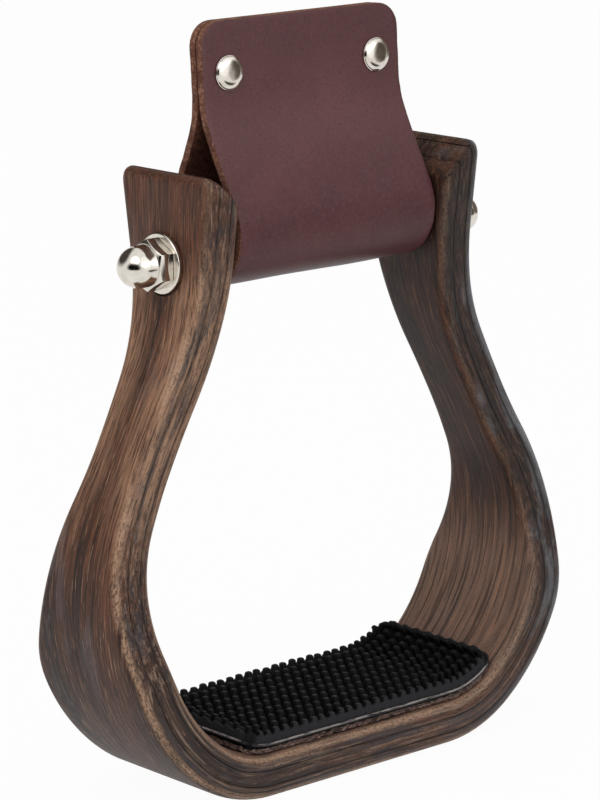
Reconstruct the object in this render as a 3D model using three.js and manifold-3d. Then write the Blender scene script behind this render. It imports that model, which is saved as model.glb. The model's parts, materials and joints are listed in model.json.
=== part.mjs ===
// Western stirrup of bent, laminated wood, with a leather-covered bolt and a rubber tread pad.
// Millimetres. X runs along the bolt, -Y is the front, +Z is up.
// The origin is on the underside of the tread, below the middle of the bolt.

import * as THREE from 'three';
import * as BufferGeometryUtils from 'three/addons/utils/BufferGeometryUtils.js';
import Module from 'manifold-3d';

const wasm = await Module();
wasm.setup();

const degrees = Math.PI / 180;

// Driving dimensions of the wood frame
const neckWidth = 76.2;             // between the legs at the bolt, a 3 inch neck
const openingWidth = 140.8;         // between the legs at their widest
const boltToTread = 138;            // bolt axis down to the surface that the pad is glued to
const boltToTop = 24.7;             // bolt axis up to the outer edge of the leg tops
const plyThickness = 4.2;           // each of the three laminations
const glueLine = 0.15;              // between two laminations
const bendAboveBolt = 3.1;          // the legs are upright down to this far above the bolt axis
const straightSlope = 37.4;         // length of the straight stretch between the neck and shoulder bends
const shoulderRadius = 49;          // where the slope turns in again
const shoulderEnd = 53.2 * degrees; // slope, past upright, where the tighter corner takes over
const cornerRadius = 28;            // inner corner between shoulder and tread
const edgeRadius = 4;               // rounding of the long edges
const bevelDrop = 9.5;              // the leg tops are cut lower on the inside by this much
const bevelOuterSet = 3;            // the bevel stops this far short of the outer face
const topCornerRadius = 4.5;        // front and rear corners of the leg tops
const spareAboveTop = 3;            // the bent strips are this much longer before the tops are cut

// Front to back, the legs are narrow at the waist and wide at the tread
const treadDepth = 48.8;
const waistDepth = 22.6;
const waistFlareRadius = 128;       // hollow curve below the waist
const treadShoulderRadius = 29.5;   // round curve where it meets the full tread depth
const upperFlareRadius = 300;       // hollow curve above the waist
const upperFlare = 8 * degrees;     // straight taper that it ends in

// Bolt, sleeve, washers and domed nuts
const rodDiameter = 7.94;
const runningGap = 0.3;             // between a turning piece and what it turns on
const seatGap = 0.1;                // between two flat faces that are screwed or glued together
const rodHoleGap = 0.35;            // bolt rod to the hole in the wood
const sleeveDiameter = 12;
const sleeveEndGap = 0.3;
const washerDiameter = 17;
const washerThickness = 1.6;
const spotFaceMargin = 0.6;         // the flat seat cut in the wood is this much wider than the washer
const nutAcrossFlats = 12.7;
const nutHexHeight = 4.6;
const nutChamfer = 0.7;
const domeDiameter = 11.6;
const domeNeck = 2.5;               // straight part between the hexagon and the ball of the dome
const rodIntoNut = 8.4;
const nutBoreRadial = 0.2;
const nutBoreEnd = 0.6;

// Leather bolt cover, one strip folded round the bolt
const leather = 2.45;               // thickness
const coverSideGap = 1.95;          // between the cover's ends and the legs
const loopInnerRadius = 13.2;
const foldRadius = 30;              // where the strip bends from the loop into the flaps
const flapCloseMargin = 0.3;        // the flaps meet this far below the rivet caps
const flapTop = 63.8;               // height of the flaps' top edge above the bolt
const flapGap = 0.3;                // between the two flaps
const flapCornerRadius = 7;
const coverLean = 2.9 * degrees;    // the cover stands leaning back by this much
const rivetFromTop = 14.4;
const rivetFromSide = 9;
const rivetCapDiameter = 9.6;
const rivetCapHeight = 1.7;
const rivetRim = 0.45;              // straight rim under the cap's dome
const rivetPostDiameter = 3.6;
const rivetHoleGap = 0.3;
const rivetSeatGap = 0.1;
const socketDepth = 0.7;            // how deep a front cap is hollow, for the post's end

// Rubber tread pad and its backing sheet
const padGlue = 0.2;                // between the wood and the backing
const nubPitchAcross = 3.44;        // along the tread
const nubPitchDeep = 4.9;           // front to back
const nubColumns = 29;
const nubRows = 10;
const nubHeight = 3.7;
const nubFoot = 2.1;                // side of a nub at its foot
const nubTip = 1.4;                 // and at its tip
const nubRoot = 0.4;                // how far a nub reaches down into the plate
const rimWidth = 1.5;               // the low wall that joins the outermost nubs
const rimBelowTips = 1.2;           // it stops this far below the nubs' tips
const rimSet = 0.15;                // its outer face lies this far inside the nubs' feet
const padEndMargin = 1.2;           // plate beyond the last nub at each end of the pad
const padSideMargin = 0.6;          // and in front of and behind the outermost rows
const padPlate = 0.9;               // thickness of the plate that the nubs stand on
const padFoot = 1.3;                // height of the pad's foot below the plate
const padFootInset = 2;             // how far the foot lies inside the plate's edge
const padCornerRadius = 4;
const padOffset = 5.9;              // the pad is glued this far towards +X
const backingThickness = 1;
const backingMargin = 0.3;          // the backing stands out this far past the foot

// Derived sizes that several pieces share
const woodThickness = 3 * plyThickness + 2 * glueLine;
const boltHeight = woodThickness + boltToTread;
const rodRadius = rodDiameter / 2;
const woodOuterX = neckWidth / 2 + woodThickness;
const washerX = woodOuterX + seatGap;
const nutX = washerX + washerThickness + seatGap;
const coverWidth = neckWidth - 2 * coverSideGap;
const nubsAcross = (nubColumns - 1) * nubPitchAcross + nubFoot;
const nubsDeep = (nubRows - 1) * nubPitchDeep + nubFoot;
const padLength = nubsAcross + 2 * padEndMargin;
const padDepth = nubsDeep + 2 * padSideMargin;

// Materials
const walnutStain = new THREE.MeshStandardMaterial({ color: 0x5b4030, roughness: 0.55, metalness: 0 });
const innerStain = new THREE.MeshStandardMaterial({ color: 0x6b4a35, roughness: 0.6, metalness: 0 });
const nickel = new THREE.MeshStandardMaterial({ color: 0xd3d2cc, roughness: 0.18, metalness: 1 });
const zinc = new THREE.MeshStandardMaterial({ color: 0xa9abad, roughness: 0.35, metalness: 1 });
const oxblood = new THREE.MeshStandardMaterial({ color: 0x5e4044, roughness: 0.62, metalness: 0 });
const rubber = new THREE.MeshStandardMaterial({ color: 0x1d1d1f, roughness: 0.8, metalness: 0 });
const felt = new THREE.MeshStandardMaterial({ color: 0x3a2c24, roughness: 0.95, metalness: 0 });

// Solids for the boolean steps

function solidOf(geometry) {
  const bare = geometry.clone();
  bare.deleteAttribute('normal');
  bare.deleteAttribute('uv');
  const merged = BufferGeometryUtils.mergeVertices(bare, 1e-4);
  return new wasm.Manifold(new wasm.Mesh({
    numProp: 3,
    vertProperties: new Float32Array(merged.attributes.position.array),
    triVerts: new Uint32Array(merged.index.array),
  }));
}

function geometryOf(solid) {
  const mesh = solid.getMesh();
  const geometry = new THREE.BufferGeometry();
  geometry.setAttribute('position', new THREE.BufferAttribute(new Float32Array(mesh.vertProperties), 3));
  geometry.setIndex(new THREE.BufferAttribute(new Uint32Array(mesh.triVerts), 1));
  return geometry;
}

// A closed skin through rings of points that all have the same count.
// With the rings stacked along the sweep, each ring runs counter-clockwise seen from its end.
function skinOf(rings) {
  const count = rings[0].length;
  const points = rings.flat();
  const index = [];
  for (let r = 0; r < rings.length - 1; r += 1) {
    for (let k = 0; k < count; k += 1) {
      const next = (k + 1) % count;
      const a = r * count + k;
      const b = r * count + next;
      index.push(a, b, b + count, a, b + count, a + count);
    }
  }
  const last = (rings.length - 1) * count;
  for (let k = 1; k < count - 1; k += 1) {
    index.push(0, k + 1, k);
    index.push(last, last + k, last + k + 1);
  }
  const geometry = new THREE.BufferGeometry().setFromPoints(points);
  geometry.setIndex(index);
  return geometry;
}

function arcPoints(centreX, centreY, radius, from, to, steps) {
  const points = [];
  for (let k = 0; k <= steps; k += 1) {
    const angle = from + ((to - from) * k) / steps;
    points.push(new THREE.Vector2(centreX + radius * Math.cos(angle), centreY + radius * Math.sin(angle)));
  }
  return points;
}

// A flat outline in X and Z, pushed through along Y
function slabAlongY(outline, depth) {
  const geometry = new THREE.ExtrudeGeometry(new THREE.Shape(outline), { depth, bevelEnabled: false });
  geometry.translate(0, 0, -depth / 2);
  geometry.rotateX(Math.PI / 2);
  return geometry;
}

// A flat outline in Y and Z, pushed through along X
function slabAlongX(outline, width) {
  const geometry = new THREE.ExtrudeGeometry(new THREE.Shape(outline), { depth: width, bevelEnabled: false });
  geometry.translate(0, 0, -width / 2);
  const turn = new THREE.Matrix4().set(0, 0, 1, 0, 1, 0, 0, 0, 0, 1, 0, 0, 0, 0, 0, 1);
  geometry.applyMatrix4(turn);
  return geometry;
}

// A lathe profile of (radius, distance) pairs, turned about the X axis
function turnedAboutX(profile, segments) {
  const points = profile.map(([radius, along]) => new THREE.Vector2(radius, along));
  const geometry = new THREE.LatheGeometry(points, segments);
  geometry.rotateZ(-Math.PI / 2);
  return geometry;
}

// The line that the wood is bent along: its inner face, from the middle of the tread up to the leg top.
// The straight slope touches both the shoulder's bend and the neck's, whose radius follows from that.
const shoulderHeight = shoulderRadius * Math.sin(shoulderEnd) + cornerRadius * (1 - Math.sin(shoulderEnd));
const centresUp = boltToTread + bendAboveBolt - shoulderHeight;
const drawIn = (openingWidth - neckWidth) / 2;
const radiiTogether = (drawIn ** 2 + centresUp ** 2 - straightSlope ** 2) / (2 * drawIn);
const neckRadius = radiiTogether - shoulderRadius;
const legSlope = Math.atan2(centresUp, radiiTogether - drawIn) - Math.atan2(straightSlope, radiiTogether);
const cornerTurn = Math.PI / 2 - shoulderEnd;
const shoulderTurn = shoulderEnd + legSlope;
const flatHalf = openingWidth / 2
  - shoulderRadius * (1 - Math.cos(shoulderEnd)) - cornerRadius * Math.cos(shoulderEnd);
const neckLength = boltToTop + spareAboveTop - bendAboveBolt;

// Each stretch has a length and a turn, left turns positive, starting out along +X
const bendLine = [
  { length: flatHalf, turn: 0, steps: 1 },
  { length: cornerRadius * cornerTurn, turn: cornerTurn, steps: 6 },
  { length: shoulderRadius * shoulderTurn, turn: shoulderTurn, steps: 13 },
  { length: straightSlope, turn: 0, steps: 6 },
  { length: neckRadius * legSlope, turn: -legSlope, steps: 7 },
  { length: neckLength, turn: 0, steps: 4 },
];
const bendLength = bendLine.reduce((sum, stretch) => sum + stretch.length, 0);

// Point on the inner face at a distance from the middle of the tread, and the direction out of the opening
function onBend(distance) {
  const side = distance < 0 ? -1 : 1;
  let left = Math.min(Math.abs(distance), bendLength);
  let x = 0;
  let z = woodThickness;
  let heading = 0;
  for (const { length, turn } of bendLine) {
    const part = Math.min(left, length);
    const turned = length > 0 ? (turn * part) / length : 0;
    if (Math.abs(turned) < 1e-9) {
      x += part * Math.cos(heading);
      z += part * Math.sin(heading);
    } else {
      const radius = part / turned;
      x += radius * (Math.sin(heading + turned) - Math.sin(heading));
      z += radius * (Math.cos(heading) - Math.cos(heading + turned));
    }
    heading += turned;
    left -= part;
    if (left <= 0) break;
  }
  return { x: side * x, z, outX: side * Math.sin(heading), outZ: -Math.cos(heading) };
}

// Half the depth, front to back, at a distance from the middle of the tread
const waistAt = flatHalf + cornerRadius * cornerTurn + shoulderRadius * shoulderTurn + straightSlope / 2;
const flareTurn = Math.acos(Math.max(0,
  1 - (treadDepth - waistDepth) / 2 / (waistFlareRadius + treadShoulderRadius)));
const flareLength = (waistFlareRadius + treadShoulderRadius) * Math.sin(flareTurn);

function halfDepth(distance) {
  const above = Math.abs(distance) - waistAt;
  if (above > 0) {
    const curved = upperFlareRadius * Math.sin(upperFlare);
    if (above < curved) {
      return waistDepth / 2 + upperFlareRadius - Math.sqrt(upperFlareRadius ** 2 - above ** 2);
    }
    return waistDepth / 2 + upperFlareRadius * (1 - Math.cos(upperFlare))
      + (above - curved) * Math.tan(upperFlare);
  }
  const below = -above;
  if (below < waistFlareRadius * Math.sin(flareTurn)) {
    return waistDepth / 2 + waistFlareRadius - Math.sqrt(waistFlareRadius ** 2 - below ** 2);
  }
  if (below < flareLength) {
    return treadDepth / 2 - treadShoulderRadius
      + Math.sqrt(treadShoulderRadius ** 2 - (flareLength - below) ** 2);
  }
  return treadDepth / 2;
}

// Distances along the whole bend, from the left top to the right top
const stations = [0];
let reached = 0;
for (const { length, steps } of bendLine) {
  for (let k = 1; k <= steps; k += 1) stations.push(reached + (length * k) / steps);
  reached += length;
}
const wholeBend = [...stations.slice(1).reverse().map((distance) => -distance), ...stations];

// Section of one lamination at half-depth h: pairs of (depth into the wood, y).
// The outermost and innermost laminations have their long edges rounded.
function plySection(from, to, half, roundFrom, roundTo) {
  const radius = Math.min(edgeRadius, plyThickness - 0.2);
  const steps = 3;
  const corners = [];
  if (roundFrom) {
    corners.push(...arcPoints(from + radius, half - radius, radius, Math.PI / 2, Math.PI, steps));
    corners.push(...arcPoints(from + radius, radius - half, radius, Math.PI, 1.5 * Math.PI, steps));
  } else {
    corners.push(new THREE.Vector2(from, half), new THREE.Vector2(from, -half));
  }
  if (roundTo) {
    corners.push(...arcPoints(to - radius, radius - half, radius, 1.5 * Math.PI, 2 * Math.PI, steps));
    corners.push(...arcPoints(to - radius, half - radius, radius, 0, Math.PI / 2, steps));
  } else {
    corners.push(new THREE.Vector2(to, -half), new THREE.Vector2(to, half));
  }
  return corners;
}

function bentPly(from, to, roundFrom, roundTo) {
  const rings = wholeBend.map((distance) => {
    const at = onBend(distance);
    return plySection(from, to, halfDepth(distance), roundFrom, roundTo)
      .map(({ x: depth, y }) => new THREE.Vector3(at.x + at.outX * depth, y, at.z + at.outZ * depth));
  });
  return solidOf(skinOf(rings));
}

// Everything below the bevelled, rounded leg tops
function topTrim() {
  const innerX = neckWidth / 2;
  const reach = openingWidth;
  const top = boltHeight + boltToTop;
  const innerTop = top - bevelDrop;
  const bevelX = woodOuterX - bevelOuterSet;
  const overhang = 1.5;
  const slope = bevelDrop / (bevelX - innerX);
  const right = [
    new THREE.Vector2(innerX - overhang, -1),
    new THREE.Vector2(reach, -1),
    new THREE.Vector2(reach, top - bevelOuterSet),
    ...arcPoints(bevelX, top - bevelOuterSet, bevelOuterSet, 0, Math.PI / 2, 5),
    new THREE.Vector2(innerX - overhang, innerTop - overhang * slope),
  ];
  const mirrored = right.map(({ x, y }) => new THREE.Vector2(-x, y)).reverse();
  const bridge = [
    new THREE.Vector2(-innerX, -1),
    new THREE.Vector2(innerX, -1),
    new THREE.Vector2(innerX, 2 * woodThickness),
    new THREE.Vector2(-innerX, 2 * woodThickness),
  ];
  const front = [right, mirrored, bridge]
    .map((outline) => solidOf(slabAlongY(outline, 2 * treadDepth)))
    .reduce((sum, slab) => sum.add(slab));
  const topAt = bendLength - spareAboveTop;
  const half = halfDepth(topAt);
  const side = [
    new THREE.Vector2(-treadDepth, -1),
    new THREE.Vector2(treadDepth, -1),
    new THREE.Vector2(treadDepth, top - topCornerRadius),
    ...arcPoints(half - topCornerRadius, top - topCornerRadius, topCornerRadius, 0, Math.PI / 2, 5),
    ...arcPoints(topCornerRadius - half, top - topCornerRadius, topCornerRadius, Math.PI / 2, Math.PI, 5),
    new THREE.Vector2(-treadDepth, top - topCornerRadius),
  ];
  return front.intersect(solidOf(slabAlongX(side, 3 * openingWidth)));
}

// The rod's hole through both legs, and the flat seats cut for the washers
function boltCuts() {
  const holeRadius = rodRadius + rodHoleGap;
  const seatRadius = washerDiameter / 2 + spotFaceMargin;
  const far = 2 * openingWidth;
  const hole = turnedAboutX([[0, -far], [holeRadius, -far], [holeRadius, far], [0, far]], 24);
  hole.translate(0, 0, boltHeight);
  let cuts = solidOf(hole);
  for (const side of [-1, 1]) {
    const seat = turnedAboutX([[0, 0], [seatRadius, 0], [seatRadius, far], [0, far]], 28);
    if (side < 0) seat.rotateZ(Math.PI);
    seat.translate(side * woodOuterX, 0, boltHeight);
    cuts = cuts.add(solidOf(seat));
  }
  return cuts;
}

const trim = topTrim();
const cuts = boltCuts();
const plies = [
  { name: 'ply_inner', index: 0, material: innerStain },
  { name: 'ply_middle', index: 1, material: walnutStain },
  { name: 'ply_outer', index: 2, material: walnutStain },
].map(({ name, index, material }) => {
  const from = index * (plyThickness + glueLine);
  const ply = bentPly(from, from + plyThickness, index === 0, index === 2);
  const mesh = new THREE.Mesh(geometryOf(ply.intersect(trim).subtract(cuts)), material);
  mesh.name = name;
  return mesh;
});

// Bolt rod, sleeve, washers and domed nuts, each centred on the bolt axis

function ringAboutX(innerRadius, outerRadius, length, edge, segments) {
  const end = length / 2;
  return turnedAboutX([
    [innerRadius, -end],
    [outerRadius - edge, -end],
    [outerRadius, -end + edge],
    [outerRadius, end - edge],
    [outerRadius - edge, end],
    [innerRadius, end],
    [innerRadius, -end],
  ], segments);
}

function boltRod() {
  const end = nutX + rodIntoNut;
  const chamfer = 0.8;
  return turnedAboutX([
    [0, -end],
    [rodRadius - chamfer, -end],
    [rodRadius, -end + chamfer],
    [rodRadius, end - chamfer],
    [rodRadius - chamfer, end],
    [0, end],
  ], 24);
}

// A domed nut: a hexagon with chamfered corners, a short round neck and a ball end, blind bored
function domedNut() {
  const cornerRadiusHex = nutAcrossFlats / 2 / Math.cos(Math.PI / 6);
  const hexagon = arcPoints(0, 0, cornerRadiusHex, Math.PI / 2, 2.5 * Math.PI, 6).slice(0, 6);
  const block = slabAlongX(hexagon, nutHexHeight);
  block.translate(nutHexHeight / 2, 0, 0);
  const flat = cornerRadiusHex - nutChamfer * Math.sqrt(3);
  const rounder = turnedAboutX([
    [0, 0],
    [cornerRadiusHex + 1, 0],
    [cornerRadiusHex + 1, nutHexHeight - nutChamfer],
    [cornerRadiusHex, nutHexHeight - nutChamfer],
    [flat, nutHexHeight],
    [0, nutHexHeight],
  ], 24);
  const domeRadius = domeDiameter / 2;
  const domeCentre = nutHexHeight + domeNeck;
  const ball = arcPoints(0, domeCentre, domeRadius, 0, Math.PI / 2, 6);
  const dome = turnedAboutX([
    [0, nutHexHeight / 2],
    [domeRadius, nutHexHeight / 2],
    ...ball.slice(0, -1).map(({ x, y }) => [x, y]),
    [0, domeCentre + domeRadius],
  ], 20);
  const boreRadius = rodRadius + nutBoreRadial;
  const boreEnd = rodIntoNut + nutBoreEnd;
  const bore = turnedAboutX([[0, -1], [boreRadius, -1], [boreRadius, boreEnd], [0, boreEnd]], 16);
  return solidOf(block).intersect(solidOf(rounder)).add(solidOf(dome)).subtract(solidOf(bore));
}

const bolt = new THREE.Group();
bolt.position.z = boltHeight;

const rod = new THREE.Mesh(boltRod(), zinc);
rod.name = 'bolt_rod';
bolt.add(rod);

const sleeveBore = rodRadius + runningGap;
const sleeveLength = neckWidth - 2 * sleeveEndGap;
const sleeve = new THREE.Mesh(ringAboutX(sleeveBore, sleeveDiameter / 2, sleeveLength, 0.5, 28), zinc);
sleeve.name = 'bolt_sleeve';
bolt.add(sleeve);

for (const [label, side] of [['left', -1], ['right', 1]]) {
  const washer = new THREE.Mesh(
    ringAboutX(rodRadius + rodHoleGap, washerDiameter / 2, washerThickness, 0.25, 28), nickel);
  washer.name = `washer_${label}`;
  washer.position.x = side * (washerX + washerThickness / 2);
  const nut = new THREE.Mesh(geometryOf(domedNut()), nickel);
  nut.name = `domed_nut_${label}`;
  nut.position.x = side * nutX;
  if (side < 0) nut.rotation.z = Math.PI;
  bolt.add(washer, nut);
}

// Leather cover. Its middle line, seen from the side with the bolt at (0, 0), is a loop, a straight
// stretch that leans in, a fold that turns it upright, and the flap. The loop hangs on the sleeve's
// underside, so its centre lies above the bolt.
const loopCentre = loopInnerRadius - sleeveDiameter / 2 - runningGap;
const flapMiddle = flapGap / 2 + leather / 2;
const flapOuterY = flapGap / 2 + leather;
const loopMiddleRadius = loopInnerRadius + leather / 2;
const rivetX = coverWidth / 2 - rivetFromSide;
const rivetZ = flapTop - rivetFromTop;
const flapClose = rivetZ - rivetCapDiameter / 2 - flapCloseMargin;

// One side of the strip at an offset from the middle line, from the loop's lowest point to the flap's top
function stripSide(offset) {
  const foldY = flapMiddle + foldRadius;
  const foldZ = flapClose - loopCentre;
  const reach = Math.hypot(foldY, foldZ);
  const lean = Math.atan2(foldZ, foldY) + Math.asin((loopMiddleRadius + foldRadius) / reach);
  const loop = arcPoints(0, loopCentre, loopMiddleRadius + offset, -Math.PI / 2, lean - Math.PI / 2, 15);
  const fold = arcPoints(foldY, flapClose, foldRadius - offset, lean + Math.PI / 2, Math.PI, 4);
  return [...loop, ...fold, new THREE.Vector2(flapMiddle + offset, flapTop)];
}

function coverStrip() {
  const mirror = (points) => points.map(({ x, y }) => new THREE.Vector2(-x, y));
  const outer = stripSide(leather / 2);
  const inner = stripSide(-leather / 2);
  const outline = [
    ...mirror(outer).reverse(),
    ...outer.slice(1),
    ...inner.slice().reverse(),
    ...mirror(inner).slice(1),
  ];
  const band = solidOf(slabAlongX(outline, coverWidth));
  const half = coverWidth / 2;
  const low = loopCentre - loopInnerRadius - 2 * leather;
  const frontView = [
    new THREE.Vector2(-half, low),
    new THREE.Vector2(half, low),
    ...arcPoints(half - flapCornerRadius, flapTop - flapCornerRadius, flapCornerRadius, 0, Math.PI / 2, 6),
    ...arcPoints(flapCornerRadius - half, flapTop - flapCornerRadius, flapCornerRadius,
      Math.PI / 2, Math.PI, 6),
  ];
  let strip = band.intersect(solidOf(slabAlongY(frontView, 6 * loopInnerRadius)));
  for (const side of [-1, 1]) {
    const hole = new THREE.CylinderGeometry(
      rivetPostDiameter / 2 + rivetHoleGap, rivetPostDiameter / 2 + rivetHoleGap, 6 * leather, 20);
    hole.translate(side * rivetX, 0, rivetZ);
    strip = strip.subtract(solidOf(hole));
  }
  return strip;
}

// Cap of a rivet on the +Y side: a thin straight rim and a low dome
function rivetCapProfile() {
  const radius = rivetCapDiameter / 2;
  const rise = rivetCapHeight - rivetRim;
  const profile = [];
  const steps = 3;
  for (let k = 0; k < steps; k += 1) {
    const angle = (k / steps) * (Math.PI / 2);
    profile.push([radius * Math.cos(angle), rivetRim + rise * Math.sin(angle)]);
  }
  return [[radius, 0], ...profile, [0, rivetCapHeight]];
}

function turnedAboutY(profile, segments) {
  const points = profile.map(([radius, along]) => new THREE.Vector2(radius, along));
  return new THREE.LatheGeometry(points, segments);
}

// The rear cap with its post, which runs through both flaps and ends inside the front cap's socket
const postReach = 2 * flapOuterY + 2 * rivetSeatGap;

function rivetPost() {
  const cap = rivetCapProfile();
  const radius = rivetPostDiameter / 2;
  const end = -(postReach + socketDepth - rivetHoleGap);
  return turnedAboutY([[0, end], [radius, end], [radius, 0], ...cap], 18);
}

function rivetFrontCap() {
  const cap = rivetCapProfile();
  const socket = rivetPostDiameter / 2 + rivetHoleGap;
  return turnedAboutY([[0, socketDepth], [socket, socketDepth], [socket, 0], ...cap], 18);
}

const cover = new THREE.Group();
cover.position.z = boltHeight;
cover.rotation.x = -coverLean;

const strip = new THREE.Mesh(geometryOf(coverStrip()), oxblood);
strip.name = 'leather_cover';
cover.add(strip);

for (const [label, side] of [['left', -1], ['right', 1]]) {
  const post = new THREE.Mesh(rivetPost(), nickel);
  post.name = `rivet_post_${label}`;
  post.position.set(side * rivetX, flapOuterY + rivetSeatGap, rivetZ);
  const cap = new THREE.Mesh(rivetFrontCap(), nickel);
  cap.name = `rivet_cap_${label}`;
  cap.position.set(side * rivetX, -flapOuterY - rivetSeatGap, rivetZ);
  cap.rotation.x = Math.PI;
  cover.add(post, cap);
}

// Tread pad. Sheets and nubs are placed on the bend by (distance along it, y, height above the wood).
function onTread(distance, y, height) {
  const at = onBend(distance);
  return new THREE.Vector3(at.x - at.outX * height, y, at.z - at.outZ * height);
}

// Where the sheets on the tread bend: between the columns of nubs, past the flat of the tread
const sheetBends = [];
for (let gap = 1; gap < nubColumns; gap += 1) {
  const along = (gap - nubColumns / 2) * nubPitchAcross;
  if (Math.abs(padOffset + along) > flatHalf - nubPitchAcross) sheetBends.push(along);
}

// A sheet that follows the tread, with rounded corners in plan
function treadSheet(length, depth, radius, low, high) {
  const half = length / 2;
  const ends = arcPoints(half - radius, depth / 2 - radius, radius, 0, Math.PI / 2, 3);
  const places = ends.map(({ x, y }) => [-x, y]);
  for (const along of sheetBends) {
    if (Math.abs(along) < half - radius) places.push([along, depth / 2]);
  }
  for (const { x, y } of ends.slice().reverse()) places.push([x, y]);
  const rings = places.map(([along, y]) => [
    onTread(padOffset + along, -y, low),
    onTread(padOffset + along, y, low),
    onTread(padOffset + along, y, high),
    onTread(padOffset + along, -y, high),
  ]);
  return solidOf(skinOf(rings));
}

// A tapered square nub standing on the bend
function nub(along, y, foot, tip, low, high) {
  const ring = (side, height) => [[-1, -1], [1, -1], [1, 1], [-1, 1]]
    .map(([a, b]) => onTread(padOffset + along + (a * side) / 2, y + (b * side) / 2, height));
  return skinOf([ring(foot, low), ring(tip, high)]);
}

// A sheet whose edge lies inside the plate's edge by a margin, the same all round
function insetSheet(alongInset, deepInset, low, high) {
  const radius = Math.max(1, padCornerRadius - Math.min(alongInset, deepInset));
  return treadSheet(padLength - 2 * alongInset, padDepth - 2 * deepInset, radius, low, high);
}

const backingLow = padGlue;
const footLow = backingLow + backingThickness + seatGap;
const plateLow = footLow + padFoot;
const plateTop = plateLow + padPlate;

// Foot, plate, the rim round the field, and the nubs
function treadPad() {
  const foot = insetSheet(padFootInset, padFootInset, footLow, plateLow + padPlate / 2);
  const plate = insetSheet(0, 0, plateLow, plateTop);
  const rimTop = plateTop + nubHeight - rimBelowTips;
  const alongSet = padEndMargin + rimSet;
  const deepSet = padSideMargin + rimSet;
  const rim = insetSheet(alongSet, deepSet, plateTop - padPlate / 2, rimTop)
    .subtract(insetSheet(alongSet + rimWidth, deepSet + rimWidth, plateTop, rimTop + nubHeight));
  const nubs = [];
  for (let column = 0; column < nubColumns; column += 1) {
    for (let row = 0; row < nubRows; row += 1) {
      const along = (column - (nubColumns - 1) / 2) * nubPitchAcross;
      const y = (row - (nubRows - 1) / 2) * nubPitchDeep;
      const pastX = Math.abs(along) + nubFoot / 2 - (padLength / 2 - padCornerRadius);
      const pastY = Math.abs(y) + nubFoot / 2 - (padDepth / 2 - padCornerRadius);
      if (Math.hypot(Math.max(0, pastX), Math.max(0, pastY)) < padCornerRadius) {
        nubs.push(nub(along, y, nubFoot, nubTip, plateTop - nubRoot, plateTop + nubHeight));
      }
    }
  }
  const field = solidOf(BufferGeometryUtils.mergeGeometries(nubs));
  return foot.add(plate).add(rim).add(field);
}

const backingInset = padFootInset - backingMargin;
const backing = new THREE.Mesh(
  geometryOf(insetSheet(backingInset, backingInset, backingLow, backingLow + backingThickness)), felt);
backing.name = 'pad_backing';

const pad = new THREE.Mesh(geometryOf(treadPad()), rubber);
pad.name = 'tread_pad';

// The whole stirrup
const stirrup = new THREE.Group();
stirrup.add(...plies, bolt, cover, backing, pad);

export default stirrup;
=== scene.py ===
# %% [markdown]
# A western stirrup: bent laminated wood, a bolt across the neck under a riveted leather
# cover, and a nubbed rubber pad on the tread. The solids from CAD are the fixed frame.
# Everything here is in metres in that frame: X along the bolt, -Y the front, +Z up.

# %% Load the frame
import json
import math

import bmesh
import bpy
from mathutils import Matrix, Vector, noise


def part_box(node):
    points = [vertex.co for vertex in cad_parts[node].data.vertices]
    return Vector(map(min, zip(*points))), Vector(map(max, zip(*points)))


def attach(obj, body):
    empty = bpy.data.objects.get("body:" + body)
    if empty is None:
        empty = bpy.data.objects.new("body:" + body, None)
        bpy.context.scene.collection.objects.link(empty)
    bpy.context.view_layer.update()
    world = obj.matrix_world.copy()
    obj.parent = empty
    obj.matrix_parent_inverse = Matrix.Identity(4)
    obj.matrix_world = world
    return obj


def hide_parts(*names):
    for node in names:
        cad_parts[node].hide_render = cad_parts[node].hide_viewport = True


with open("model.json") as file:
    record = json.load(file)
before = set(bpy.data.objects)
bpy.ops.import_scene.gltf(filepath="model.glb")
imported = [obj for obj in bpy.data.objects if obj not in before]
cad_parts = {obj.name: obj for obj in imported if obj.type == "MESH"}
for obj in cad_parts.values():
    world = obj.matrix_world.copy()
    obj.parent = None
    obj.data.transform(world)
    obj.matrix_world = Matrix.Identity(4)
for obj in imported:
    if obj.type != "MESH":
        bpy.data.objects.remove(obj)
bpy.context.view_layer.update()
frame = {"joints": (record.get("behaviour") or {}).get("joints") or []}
bpy.ops.object.select_all(action="DESELECT")
MM = 0.001

# %% [markdown]
# The camera comes first. Its place was solved from the photograph: it looks from the left
# and a little above, from about a metre away, with a long lens and hardly any roll.

# %% Camera
CAMERA_AZIMUTH = math.radians(-41.27)
CAMERA_ELEVATION = math.radians(12.97)
CAMERA_ROLL = math.radians(-0.62)
CAMERA_DISTANCE = 986.0 * MM
CAMERA_TARGET = Vector((-2.32, 0, 104.96)) * MM
CAMERA_LENS = 156.8
SENSOR_WIDTH = 36


def place_camera():
    """Puts the camera where the photograph was taken from."""
    data = bpy.data.cameras.new("camera")
    data.sensor_width = SENSOR_WIDTH
    data.lens = CAMERA_LENS
    camera = bpy.data.objects.new("camera", data)
    bpy.context.scene.collection.objects.link(camera)
    level = math.cos(CAMERA_ELEVATION)
    back = Vector((
        math.sin(CAMERA_AZIMUTH) * level,
        -math.cos(CAMERA_AZIMUTH) * level,
        math.sin(CAMERA_ELEVATION),
    ))
    right = Vector((0, 0, 1)).cross(back).normalized()
    up = back.cross(right)
    rolled_right = right * math.cos(CAMERA_ROLL) + up * math.sin(CAMERA_ROLL)
    rolled_up = up * math.cos(CAMERA_ROLL) - right * math.sin(CAMERA_ROLL)
    turn = Matrix((rolled_right, rolled_up, back)).transposed()
    camera.matrix_world = Matrix.Translation(CAMERA_TARGET + back * CAMERA_DISTANCE) @ turn.to_4x4()
    bpy.context.scene.camera = camera


place_camera()
print("camera", CAMERA_DISTANCE, "m away")

# %% [markdown]
# Two small helpers serve every material: one turns a hex colour as a screen shows it into
# linear light, and one adds a node with its settings, links and colour stops.

# %% Colours and nodes


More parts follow.
